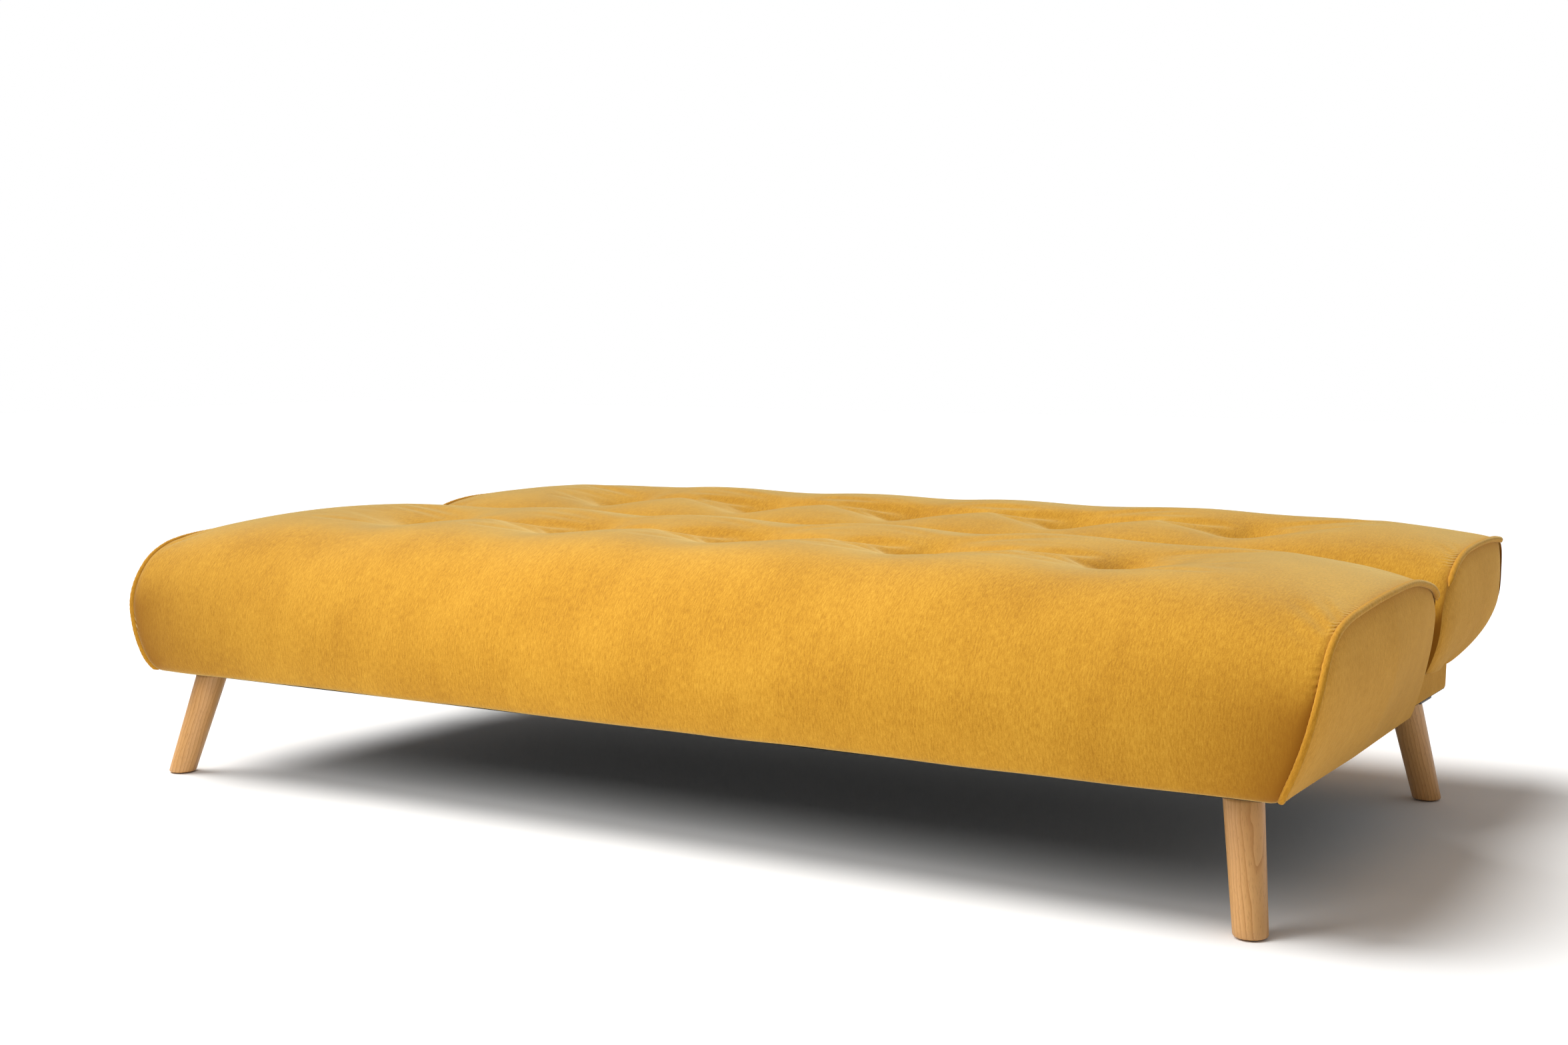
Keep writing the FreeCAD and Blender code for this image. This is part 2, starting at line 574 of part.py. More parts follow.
def zigzag_springs(depth0, depth1, z, reach):
    """Sinuous wires running from front rail to rear rail."""
    bend = SPRING_PITCH / 4
    rungs = int((depth1 - depth0) / (SPRING_PITCH / 2)) - 1
    start = (depth0 + depth1 - rungs * SPRING_PITCH / 2) / 2
    springs = []
    for i in range(SPRING_COUNT):
        x = reach * (2 * i / (SPRING_COUNT - 1) - 1)
        arm = SPRING_HALF_WIDTH - bend
        side = 1
        here = Vec(x - arm, place(start), z)
        edges = []
        for _ in range(rungs):
            there = Vec(x + side * arm, here.y, z)
            edges.append(Part.LineSegment(here, there).toShape())
            after = there + Vec(0, 2 * bend, 0)
            crest = there + Vec(side * bend, bend, 0)
            edges.append(Part.Arc(there, crest, after).toShape())
            here = after
            side = -side
        edges.append(Part.LineSegment(here, Vec(x + side * arm, here.y, z)).toShape())
        ring = Part.Circle(Vec(x - arm, place(start), z), Vec(1, 0, 0), SPRING_WIRE_R).toShape()
        springs.append(Part.Wire(edges).makePipeShell([Part.Wire([ring])], True, False))
    return springs


def spring_pad(reach, front, rear, low, button_depth):
    """Felt over the springs, with a hole for each button's tie."""
    pad = block(-reach, reach, front, rear, low, low + PAD)
    feet = [Vec(x, place(button_depth), low - OVERCUT) for x in BUTTON_XS]
    holes = [rod(foot, Vec(0, 0, 1), TIE_R + SOFT_GAP, PAD + 2 * OVERCUT) for foot in feet]
    return pad.cut(holes)


def pocket(depth0, depth1):
    """Room inside a slab, by each end, for the hinge plates."""
    x0 = BACK_ARM_X - PIN_HEAD - PLATE_GAP - POCKET_CLEAR
    x1 = SEAT_ARM_X + PLATE + PLATE_GAP + PIN_HEAD + POCKET_CLEAR
    room = block(x0, x1, depth0, depth1, LEG_HEIGHT, PIVOT_Z + EYE_R + POCKET_CLEAR)
    return both(room)


def make_seat(seat):
    # Timber frame
    inner_x = SEAT_ARM_X + PLATE
    rail_front = BOARD_REAR
    rail_rear = PIVOT_DEPTH - EYE_R - POCKET_CLEAR
    low, high = SEAT_FRAME_Z, SEAT_FRAME_TOP
    board_low = SKIRT_Z + COVER + FIT_GAP
    front_board = block(-SKIRT_OUTER, SKIRT_OUTER, BOARD_FRONT, BOARD_REAR, board_low, high)
    board_rear = SEAT_DEPTH - COVER - FIT_GAP
    end_board = block(SKIRT_INNER, SKIRT_OUTER, BOARD_REAR, board_rear, board_low, high)
    side_rail = block(inner_x, SKIRT_INNER, rail_front, board_rear, low, high)
    save("seat_front_board", [front_board])
    save("seat_end_boards", both(end_board))
    save("seat_side_rails", both(side_rail.cut(bolt_holes(inner_x, SEAT_ARM_SPOTS))))
    front_rail = block(-inner_x, inner_x, rail_front, rail_front + FRAME_RAIL, low, high)
    end_x = BACK_ARM_X - POCKET_CLEAR
    rear_rail = block(-end_x, end_x, rail_rear - FRAME_RAIL, rail_rear, low, high)
    save("seat_front_rail", [front_rail])
    save("seat_rear_rail", [rear_rail])
    spread = inner_x / 3
    cross = [block(x - FRAME_RAIL / 2, x + FRAME_RAIL / 2, rail_front + FRAME_RAIL,
                   rail_rear - FRAME_RAIL, low, high - CROSS_DROP) for x in (-spread, spread)]
    save("seat_cross_rails", cross)

    # Suspension
    wire_z = high + SPRING_WIRE_R + SPRING_CLEAR / 2
    reach = end_x - SPRING_HALF_WIDTH - 2 * SPRING_WIRE_R - SPRING_SIDE_GAP
    ends = (rail_front + SPRING_START, rail_rear - SPRING_START)
    save("seat_springs", zigzag_springs(*ends, wire_z, reach))
    pad = spring_pad(end_x, rail_front, rail_rear, SEAT_PAD_Z, seat.button_depth)
    save("seat_spring_pad", [pad])
    pad_top = SEAT_PAD_Z + PAD

    # Upholstery
    frame_room = block(-SKIRT_OUTER - FIT_GAP, SKIRT_OUTER + FIT_GAP,
                       BOARD_FRONT - FIT_GAP, FAR / 2, 0, pad_top + FIT_GAP)
    near_bolt = SEAT_ARM_BOLTS[1]
    void = pocket(PIVOT_DEPTH - near_bolt - 2 * POCKET_CLEAR, SEAT_DEPTH + OVERSHOOT)
    stuffing = seat.body(FOAM_INSET, COVER + SOFT_GAP).cut(frame_room).cut(void)
    split = Part.makeBox(FAR, FAR, pad_top + FIT_GAP, Vec(-FAR / 2, -FAR / 2, 0))
    save("seat_foam", [stuffing.cut(split)])
    edge = stuffing.common(split)
    front_zone = block(-FAR / 2, FAR / 2, -FAR / 2, BOARD_FRONT, 0, FAR)
    save("seat_front_pad", [edge.common(front_zone)])
    save("seat_end_pads", [edge.cut(front_zone)])

    layer = seat.body(COVER + SOFT_GAP, FOAM_INSET)
    layer = layer.cut(seat.body(COVER + SOFT_GAP + WADDING, 0))
    save("seat_wadding", [layer.cut(frame_room).cut(void)])

    base_room = block(-SKIRT_INNER, SKIRT_INNER, BOARD_REAR, FAR / 2, 0, SEAT_FRAME_Z)
    cover = seat.body(0, PIPING_GAP).cut(seat.body(COVER, 0))
    save("seat_cover", [cover.cut(base_room).cut(void)])
    panels = seat.body(PIPING_GAP, 0).cut(seat.ends(COVER))
    save_end_panels("seat", panels)
    save("seat_buttons", seat.buttons())
    save("seat_button_ties", seat.ties(SEAT_PAD_Z))
    save_piping("seat", seat.piping(SEAT_TOP - CROWN_DROP))


def make_back(back):
    # Timber frame
    inner_x = BACK_ARM_X - FRAME_RAIL
    front = PIVOT_DEPTH + EYE_R + POCKET_CLEAR
    rear = BACK_START + BACK_REAR_RAIL
    low, high = BACK_FRAME_Z, BACK_FRAME_TOP
    side_rail = block(inner_x, BACK_ARM_X, front, rear, low, high)
    save("back_side_rails", both(side_rail.cut(bolt_holes(BACK_ARM_X, BACK_ARM_SPOTS))))
    save("back_front_rail", [block(-inner_x, inner_x, front, front + FRAME_RAIL, low, high)])
    save("back_rear_rail", [block(-inner_x, inner_x, rear - FRAME_RAIL, rear, low, high)])
    spread = inner_x / 3
    cross = [block(x - FRAME_RAIL / 2, x + FRAME_RAIL / 2, front + FRAME_RAIL,
                   rear - FRAME_RAIL, low, high - CROSS_DROP) for x in (-spread, spread)]
    save("back_cross_rails", cross)

    # Suspension
    wire_z = high + SPRING_WIRE_R + SPRING_CLEAR / 2
    reach = inner_x - SPRING_HALF_WIDTH - 2 * SPRING_WIRE_R - SPRING_SIDE_GAP
    save("back_springs", zigzag_springs(front + SPRING_START, rear - SPRING_START, wire_z, reach))
    save("back_spring_pad", [spring_pad(inner_x, front, rear, BACK_PAD_Z, back.button_depth)])
    pad_top = BACK_PAD_Z + PAD

    # Upholstery
    frame_room = block(-BACK_ARM_X - FIT_GAP, BACK_ARM_X + FIT_GAP, front - FIT_GAP,
                       rear + FIT_GAP, 0, pad_top + FIT_GAP)
    far_bolt = BACK_ARM_BOLTS[1]
    void = pocket(BACK_START - OVERSHOOT, PIVOT_DEPTH + far_bolt + ARM_END + POCKET_CLEAR)
    stuffing = back.body(FOAM_INSET, COVER + SOFT_GAP).cut(frame_room).cut(void)
    save("back_foam", [stuffing])
    layer = back.body(COVER + SOFT_GAP, FOAM_INSET)
    layer = layer.cut(back.body(COVER + SOFT_GAP + WADDING, 0))
    save("back_wadding", [layer.cut(frame_room).cut(void)])

    shell = back.body(0, PIPING_GAP).cut(back.body(COVER, 0))
    half = BACK_HALF - LINING_ENDS
    lining_front = BACK_START + LINING_FRONT
    lining_rear = TOTAL - LINING_REAR
    hatch = block(-half, half, lining_front, lining_rear, 0, BACK_FRAME_Z)
    slit = block(-half - SOFT_GAP, half + SOFT_GAP,
                 lining_front - SOFT_GAP, lining_rear + SOFT_GAP, 0, BACK_FRAME_Z)
    top_void = pocket(BACK_START - OVERSHOOT, PIVOT_DEPTH + EYE_R + POCKET_CLEAR)
    save("back_cover", [shell.cut(slit).cut(top_void)])
    save("back_lining", [shell.common(hatch)])
    panels = back.body(PIPING_GAP, 0).cut(back.ends(COVER))
    save_end_panels("back", panels)
    save("back_buttons", back.buttons())
    save("back_button_ties", back.ties(BACK_PAD_Z))
    save_piping("back", back.piping(BACK_TOP - CROWN_DROP))


def main():
    os.makedirs("parts", exist_ok=True)
    seat, back = make_slabs()
    make_base()
    make_hinges()
    make_seat(seat)
    make_back(back)


main()
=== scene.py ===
"""Click-clack sofa bed in mustard velvet on beech legs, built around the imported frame."""

import json
import math

import bpy
import numpy as np
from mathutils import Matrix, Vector, noise


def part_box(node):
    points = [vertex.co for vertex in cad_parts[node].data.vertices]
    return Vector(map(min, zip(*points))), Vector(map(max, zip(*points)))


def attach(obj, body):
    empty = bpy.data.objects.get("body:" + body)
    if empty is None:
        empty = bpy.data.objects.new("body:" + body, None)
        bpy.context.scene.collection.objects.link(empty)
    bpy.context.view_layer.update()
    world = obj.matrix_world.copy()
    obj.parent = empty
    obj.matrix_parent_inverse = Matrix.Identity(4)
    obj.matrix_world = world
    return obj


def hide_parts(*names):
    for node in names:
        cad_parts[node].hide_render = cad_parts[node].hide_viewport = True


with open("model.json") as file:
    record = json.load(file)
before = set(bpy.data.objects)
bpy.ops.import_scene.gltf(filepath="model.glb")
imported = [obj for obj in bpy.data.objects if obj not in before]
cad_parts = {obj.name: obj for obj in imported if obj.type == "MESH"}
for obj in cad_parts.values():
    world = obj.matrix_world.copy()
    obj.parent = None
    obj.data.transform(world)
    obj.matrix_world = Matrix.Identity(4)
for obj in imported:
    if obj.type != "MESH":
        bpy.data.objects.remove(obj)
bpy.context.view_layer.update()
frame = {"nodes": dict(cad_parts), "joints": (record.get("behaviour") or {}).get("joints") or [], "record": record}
MM = 0.001

# Places, read from the frame
SEAT_LOW, SEAT_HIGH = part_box("seat_cover")
BACK_LOW, BACK_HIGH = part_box("back_cover")
BASE_LOW, BASE_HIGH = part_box("base_cover")
BOARD_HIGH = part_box("seat_end_boards")[1]
PLATE_LOW, PLATE_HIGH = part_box("hinge_bracket_right")
SEAT_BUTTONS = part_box("seat_buttons")
BACK_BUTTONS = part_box("back_buttons")
HINGE = Vector(frame["joints"][0]["pos_m"])
BUTTON_R = (SEAT_BUTTONS[1][1] - SEAT_BUTTONS[0][1]) / 2
BUTTON_PITCH = (SEAT_BUTTONS[1][0] - BUTTON_R) / 2
BUTTON_XS = [BUTTON_PITCH * i for i in (-2, -1, 0, 1, 2)]
SEAT_ROW = (SEAT_BUTTONS[0][1] + SEAT_BUTTONS[1][1]) / 2
BACK_ROW = (BACK_BUTTONS[0][1] + BACK_BUTTONS[1][1]) / 2
SEAT_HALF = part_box("seat_end_panel_right")[1][0]
BACK_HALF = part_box("back_end_panel_right")[1][0]
FRONT_Y = SEAT_LOW[1]
SEAT_REAR = SEAT_HIGH[1]
REAR_Y = BACK_HIGH[1]
SKIRT_Z = SEAT_LOW[2]
BACK_UNDER = BACK_LOW[2]
BOARD_THICK = 11 * MM
SKIRT_INNER = BOARD_HIGH[0] - BOARD_THICK      # inner faces of the end boards

# Sizes that belong to the upholsterer's work
PIPING_R = 4.5 * MM
PIPING_STOP = 33 * MM     # the bead ends this far from the crease
PIPING_IN = 0.6 * MM      # the bead's middle lies this far inside the seam
PIPING_OUT = 2 * MM       # and this far beyond the slab's end
BACK_PIPING = (120 * MM, 16 * MM)    # the back's bead: lowest above its underside, and off its rear
BUTTON_DOME = 0.5         # height of a covered button as a share of its radius
SEAM_DIP = 3.2 * MM       # the cover turns down into the seam
SEAM_WIDTH = 11 * MM      # over this width
END_BLEND = 0.34          # the end outline has given way to the middle's this far from the end
BUTTON_FREE = 1.6         # the cover can't swell within this many button radii of a button
SWELL_PRESSURE = 3.0      # the filling's push on the cover
SWELL_FRAMES = 16
SWELL_LIMIT = 12 * MM     # no point of the cover moves further than this
PANEL_BULGE = 11 * MM     # the end fabric stands out this far at its fullest
SKIRT_HEM = 6 * MM        # the end fabric turns under to this far from the boards' inner faces
NO_HEM = 1.0              # further out than any panel, so nothing is turned under
SLOT_HALF = 14 * MM       # half width of the slots that the hinge plates come through
SLOT_REACH = 20 * MM      # each slot goes this far to both sides of the hinge line
SLOT_RISE = 15 * MM       # and this far above it
UNEVEN = 1.6 * MM         # hand-laid wadding is never quite flat
LINING_LEGS = (9 * MM, 40 * MM)   # black strip under and up inside the skirt boards
BASE_LEAN = 12 * MM       # the base box is this much deeper at its top
BASE_CORNER = 4 * MM
BASE_HEM = 14 * MM        # the base's fabric is turned over its edges this far
LEG_TOP_R, LEG_FOOT_R = 23.5 * MM, 20.0 * MM
LEG_SPLAY = (26, 44, 153) # a leg leans this far endways and sideways over this drop

# Where the camera stands, which way it faces, and its lens
CAMERA_PLACE = (1.559, -2.697, 0.672)
CAMERA_DOWN, CAMERA_TURN = 5.16, 31.08    # degrees below level, and round from straight ahead
CAMERA_LENS = 46.61       # millimetres, on a 36 mm sensor


# ---------------------------------------------------------------- nodes
def linear(hex_colour):
    """sRGB hex to a linear RGBA colour."""
    parts = [int(hex_colour[i:i + 2], 16) / 255 for i in (1, 3, 5)]
    parts = [c / 12.92 if c <= 0.04045 else ((c + 0.055) / 1.055) ** 2.4 for c in parts]
    return (*parts, 1.0)


def add(tree, kind, inputs=None, stops=(), out=0, **settings):
    """Adds a node and returns one of its outputs, or the node where out is None. An input is a
    socket, a number, a vector or a hex colour; stops are a colour ramp's places and colours."""
    node = tree.nodes.new(kind)
    for name, value in settings.items():
        setattr(node, name, value)
    for key, value in (inputs or {}).items():
        if isinstance(value, bpy.types.NodeSocket):
            tree.links.new(value, node.inputs[key])
        elif isinstance(value, str) and value.startswith("#"):
            node.inputs[key].default_value = linear(value)
        else:
            node.inputs[key].default_value = value
    for i, (place, colour) in enumerate(stops):
        element = node.color_ramp.elements[i] if i < 2 else node.color_ramp.elements.new(place)
        element.position = place
        element.color = linear(colour)
    return node if out is None else node.outputs[out]


def new_material(name, roughness, **constants):
    """A node material with the numbers that are the same all over its surface."""
    made = bpy.data.materials.new(name)
    made.use_nodes = True
    shader = made.node_tree.nodes["Principled BSDF"]
    shader.inputs["Roughness"].default_value = roughness
    for key, value in constants.items():
        value = linear(value) if isinstance(value, str) else value
        shader.inputs[key.replace("_", " ")].default_value = value
    return made, made.node_tree, shader


# ---------------------------------------------------------------- materials
def velvet(name, dark, middle, light, bloom, gathers=1.0):
    """Short-pile chenille velvet, brushed down the cloth: soft streaks along the warp, cloudy
    patches where the pile leans another way, a pale bloom at grazing angles from the standing
    fibres, small gathers where the cloth is sewn to a bead, and painted shade beside the end seams."""
    made, tree, shader = new_material(name, 0.9, Specular_IOR_Level=0.15, Sheen_Weight=bloom,
                                      Sheen_Roughness=0.36, Sheen_Tint="#F7E6A6")
    cloth = add(tree, "ShaderNodeUVMap", uv_map="cloth")
    body = add(tree, "ShaderNodeTexCoord", out=3)
    # Yarns are about 0.5 mm; the streaks are groups of them, 2.2 mm wide and 9 mm long.
    long_way = add(tree, "ShaderNodeMapping", {"Vector": cloth, "Scale": (1 / 0.0022, 1 / 0.009, 1)})
    streaks = add(tree, "ShaderNodeTexNoise", {"Vector": long_way, "Scale": 1, "Detail": 3.0,
                                               "Roughness": 0.55, "Distortion": 0.35})
    # Single yarns, 0.9 mm across so that they still show
    yarn_way = add(tree, "ShaderNodeMapping", {"Vector": cloth, "Scale": (1 / 0.0009, 1 / 0.0022, 1)})
    yarns = add(tree, "ShaderNodeTexNoise", {"Vector": yarn_way, "Scale": 1, "Detail": 2.0,
                                             "Roughness": 0.7})
    # Pile leaning in patches a hand wide, and finger-wide brush marks within them
    patches = add(tree, "ShaderNodeTexNoise", {"Vector": body, "Scale": 1 / 0.13, "Detail": 2.0,
                                               "Roughness": 0.5})
    mark_way = add(tree, "ShaderNodeMapping", {"Vector": cloth, "Scale": (1 / 0.016, 1 / 0.07, 1)})
    marks = add(tree, "ShaderNodeTexNoise", {"Vector": mark_way, "Scale": 1, "Detail": 2.0,
                                             "Distortion": 0.8})
    tone = add(tree, "ShaderNodeMath", {0: streaks, 1: 0.40}, operation="MULTIPLY")
    for part, share in ((yarns, 0.32), (patches, 0.18), (marks, 0.10)):
        tone = add(tree, "ShaderNodeMath", {0: part, 1: share, 2: tone}, operation="MULTIPLY_ADD")
    colour = add(tree, "ShaderNodeValToRGB", {"Fac": tone},
                 stops=((0.38, dark), (0.62, light), (0.5, middle)))
    # Painted shade beside the end seams: the colour is mixed towards a dark brown where the stored seam shade is
    # high
    painted_seam_shade = add(tree, "ShaderNodeAttribute", attribute_name="painted_seam_shade", out=2)
    # The dark brown is painted shade, not a dye or stain
    colour = add(tree, "ShaderNodeMix", {0: painted_seam_shade, 6: colour, 7: "#8F5A0F"}, out=2,
                 data_type="RGBA")
    tree.links.new(colour, shader.inputs["Base Color"])

    pile = add(tree, "ShaderNodeMath", {0: yarns, 1: 0.6, 2: streaks}, operation="MULTIPLY_ADD")
    nap = add(tree, "ShaderNodeBump", {"Height": pile, "Strength": 0.35, "Distance": 0.0008})
    # Gathers about 10 mm apart in short runs, faded out about 20 mm from the seam
    across = add(tree, "ShaderNodeSeparateXYZ", {"Vector": cloth}, out=1)
    uneven = add(tree, "ShaderNodeMath", {0: marks, 1: 9.0}, operation="MULTIPLY")
    phase = add(tree, "ShaderNodeMath", {0: across, 1: 2 * math.pi / 0.010, 2: uneven},
                operation="MULTIPLY_ADD")
    wave = add(tree, "ShaderNodeMath", {0: phase}, operation="SINE")
    seam = add(tree, "ShaderNodeAttribute", attribute_name="seam", out=2)
    runs = add(tree, "ShaderNodeMapRange", {"Value": patches, "From Min": 0.57, "From Max": 0.66})
    tight = add(tree, "ShaderNodeMath", {0: seam, 1: runs}, operation="MULTIPLY")
    fold = add(tree, "ShaderNodeMath", {0: wave, 1: tight}, operation="MULTIPLY")
    gather = add(tree, "ShaderNodeBump", {"Height": fold, "Normal": nap, "Strength": 0.9,
                                          "Distance": 0.0014 * gathers})
    tree.links.new(gather, shader.inputs["Normal"])
    return made


def beech():
    """Turned beech under satin lacquer: growth rings drawn out into long cathedral lines,
    short dark pore flecks along them, and a broad soft gloss."""
    made, tree, shader = new_material("beech_satin_lacquer", 0.45, Coat_Weight=0.15,
                                      Coat_Roughness=0.35)
    grain = add(tree, "ShaderNodeAttribute", attribute_name="grain", out=1)
    # Slow wander of the rings, about 110 mm long
    slow = add(tree, "ShaderNodeMapping", {"Vector": grain, "Scale": (24, 24, 9)})
    wander = add(tree, "ShaderNodeTexNoise", {"Vector": slow, "Scale": 1, "Detail": 2.0}, out=1)
    push = add(tree, "ShaderNodeVectorMath", {0: wander, 3: 0.016}, operation="SCALE")
    moved = add(tree, "ShaderNodeVectorMath", {0: grain, 1: push}, operation="ADD")
    # The leg is cut away from the heart, so its rings cross it as nearly flat sheets
    tilted = add(tree, "ShaderNodeMapping", {"Vector": moved, "Location": (0.05, 0.012, 0),
                                             "Rotation": (0.045, 0.03, 0), "Scale": (1, 1, 0.35)})
    # Growth rings 5 mm apart
    rings = add(tree, "ShaderNodeTexWave", {"Vector": tilted, "Scale": 63, "Distortion": 1.1,
                                            "Detail": 2.0, "Detail Scale": 1.2},
                wave_type="RINGS", rings_direction="Z", wave_profile="SAW")
    body_tone = add(tree, "ShaderNodeValToRGB", {"Fac": rings},
                    stops=((0.0, "#D8A466"), (1.0, "#BC8347"), (0.72, "#CF9A5B")))
    # Pore flecks 7 mm long, drawn 1 mm wide so that they still show
    fine = add(tree, "ShaderNodeMapping", {"Vector": grain, "Scale": (1000, 1000, 140)})
    flecks = add(tree, "ShaderNodeTexNoise", {"Vector": fine, "Scale": 1, "Detail": 2.0})
    pores = add(tree, "ShaderNodeMapRange", {"Value": flecks, "From Min": 0.56, "From Max": 0.74,
                                             "To Max": 0.42})
    flecked = add(tree, "ShaderNodeMix", {0: pores, 6: body_tone, 7: "#8E5C2B"}, out=2,
                  data_type="RGBA")
    broad = add(tree, "ShaderNodeTexNoise", {"Vector": slow, "Scale": 0.6, "Detail": 1.0})
    warm = add(tree, "ShaderNodeMapRange", {"Value": broad, "From Min": 0.35, "From Max": 0.7,
                                            "To Max": 0.4})
    colour = add(tree, "ShaderNodeMix", {0: warm, 6: flecked, 7: "#C08A50"}, out=2,
                 data_type="RGBA")
    tree.links.new(colour, shader.inputs["Base Color"])
    bump = add(tree, "ShaderNodeBump", {"Height": flecks, "Strength": 0.15, "Distance": 0.0003})
    tree.links.new(bump, shader.inputs["Normal"])
    return made


def pine():
    """Planed softwood of the hidden frames: straight pale grain with darker summer wood."""
    made, tree, shader = new_material("planed_pine", 0.72)
    body = add(tree, "ShaderNodeTexCoord", out=3)
    # Grain 4 to 8 mm apart and 200 mm long, all in the length of the sofa
    along = add(tree, "ShaderNodeMapping", {"Vector": body, "Scale": (5, 120, 250)})
    grain = add(tree, "ShaderNodeTexNoise", {"Vector": along, "Scale": 1, "Detail": 4.0})
    colour = add(tree, "ShaderNodeValToRGB", {"Fac": grain},
                 stops=((0.34, "#DDBE90"), (0.7, "#A9794A"), (0.52, "#CDA876")))
    tree.links.new(colour, shader.inputs["Base Color"])
    bump = add(tree, "ShaderNodeBump", {"Height": grain, "Strength": 0.25, "Distance": 0.0005})
    tree.links.new(bump, shader.inputs["Normal"])
    return made


def matted(name, dark, light, grit):
    """Felt, foam, wadding, spunbond or moulded plastic: an even grit of fibres or cells, grit
    metres across, and no gloss to speak of."""
    made, tree, shader = new_material(name, 0.92, Specular_IOR_Level=0.2)
    body = add(tree, "ShaderNodeTexCoord", out=3)
    cells = add(tree, "ShaderNodeTexNoise", {"Vector": body, "Scale": 1 / grit, "Detail": 3.0,
                                             "Roughness": 0.7})
    colour = add(tree, "ShaderNodeValToRGB", {"Fac": cells}, stops=((0.32, dark), (0.68, light)))
    tree.links.new(colour, shader.inputs["Base Color"])
    bump = add(tree, "ShaderNodeBump", {"Height": cells, "Strength": 0.5, "Distance": grit / 3})
    tree.links.new(bump, shader.inputs["Normal"])
    return made


def metal(name, dark, light, roughness, metallic=1.0):
    """Drawn, plated or powder-coated steel: mottling 5 mm across that varies its gloss."""
    made, tree, shader = new_material(name, roughness, Metallic=metallic)
    body = add(tree, "ShaderNodeTexCoord", out=3)
    mottle = add(tree, "ShaderNodeTexNoise", {"Vector": body, "Scale": 1 / 0.005, "Detail": 3.0})
    colour = add(tree, "ShaderNodeValToRGB", {"Fac": mottle}, stops=((0.3, dark), (0.7, light)))
    tree.links.new(colour, shader.inputs["Base Color"])
    gloss = add(tree, "ShaderNodeMapRange", {"Value": mottle, "To Min": roughness - 0.08,
                                             "To Max": roughness + 0.1})
    tree.links.new(gloss, shader.inputs["Roughness"])
    return made


COVER = velvet("mustard_chenille_velvet", "#A6721B", "#BC8725", "#CD9932", 1.0)
PANEL = velvet("mustard_chenille_velvet_cut_crosswise", "#BA832A", "#CA9237", "#D69F43", 0.25, 0.5)
BIAS = velvet("mustard_chenille_velvet_bias_strip", "#A9741D", "#BA8326", "#C8912F", 0.5, 0.6)
BEECH = beech()
PINE = pine()
SPUNBOND = matted("black_spunbond_lining", "#090909", "#1B1B1C", 0.0015)
FELT = matted("grey_needled_felt", "#85837F", "#C4C2BD", 0.0025)
FOAM = matted("polyurethane_foam", "#D6C78F", "#EEE4BA", 0.002)
WADDING = matted("polyester_wadding", "#D5D5D1", "#F3F3F0", 0.004)
GLIDE = matted("moulded_polyethylene_glide", "#13110F", "#1E1B18", 0.001)
WIRE = metal("drawn_spring_wire", "#4A4B4D", "#6B6C6F", 0.38)
ZINC = metal("zinc_plated_steel", "#A9ABAE", "#C6C8CA", 0.34)
POWDER_COAT = metal("black_powder_coated_steel", "#0E0E0F", "#1B1B1D", 0.5, 0.0)


# ---------------------------------------------------------------- meshes
def smoothstep(value):
    """0 to 1 with soft ends."""
    value = np.clip(value, 0.0, 1.0)
    return value * value * (3 - 2 * value)


def curve_through(points, count):
    """A smooth curve through the points at even steps of its length (centripetal spline)."""
    p = np.array(points, float)
    p = np.vstack([2 * p[0] - p[1], p, 2 * p[-1] - p[-2]])
    fine = []
    for i in range(1, len(p) - 2):
        t = [0.0]
        for a, b in zip(p[i - 1:i + 2], p[i:i + 3]):
            t.append(t[-1] + max(np.linalg.norm(b - a), 1e-9) ** 0.5)
        for s in np.linspace(t[1], t[2], 40, endpoint=False):
            a1 = (t[1] - s) / (t[1] - t[0]) * p[i - 1] + (s - t[0]) / (t[1] - t[0]) * p[i]
            a2 = (t[2] - s) / (t[2] - t[1]) * p[i] + (s - t[1]) / (t[2] - t[1]) * p[i + 1]
            a3 = (t[3] - s) / (t[3] - t[2]) * p[i + 1] + (s - t[2]) / (t[3] - t[2]) * p[i + 2]
            b1 = (t[2] - s) / (t[2] - t[0]) * a1 + (s - t[0]) / (t[2] - t[0]) * a2
            b2 = (t[3] - s) / (t[3] - t[1]) * a2 + (s - t[1]) / (t[3] - t[1]) * a3
            fine.append((t[2] - s) / (t[2] - t[1]) * b1 + (s - t[1]) / (t[2] - t[1]) * b2)
    fine.append(p[-2])
    return evenly(np.array(fine), count)


def evenly(points, count):
    """The same line with count points at even steps."""
    steps = np.concatenate([[0], np.cumsum(np.linalg.norm(np.diff(points, axis=0), axis=1))])
    where = np.linspace(0, steps[-1], count)
    return np.stack([np.interp(where, steps, points[:, k]) for k in range(points.shape[1])], 1)


def piece(name, vertices, faces, finish, uv=None, edges=()):
    """A smooth-shaded mesh object; uv is one place on the cloth for each vertex."""
    mesh = bpy.data.meshes.new(name)
    mesh.from_pydata([tuple(v) for v in vertices], list(edges), faces)
    if finish is not None:
        mesh.materials.append(finish)
    if uv is not None:
        layer = mesh.uv_layers.new(name="cloth")
        index = np.empty(len(mesh.loops), dtype=np.int32)
        mesh.loops.foreach_get("vertex_index", index)
        layer.data.foreach_set("uv", np.asarray(uv, float)[index].ravel())
    mesh.polygons.foreach_set("use_smooth", [True] * len(mesh.polygons))
    mesh.update()
    made = bpy.data.objects.new(name, mesh)
    bpy.context.scene.collection.objects.link(made)
    return made


def grid_faces(rows, columns, flip=False, ring=False):
    """Quads of a grid stored row by row; ring closes the last row to the first."""
    faces = []
    for r in range(rows if ring else rows - 1):
        s = (r + 1) % rows
        for c in range(columns - 1):
            quad = (r * columns + c, r * columns + c + 1, s * columns + c + 1, s * columns + c)
            faces.append(quad[::-1] if flip else quad)
    return faces


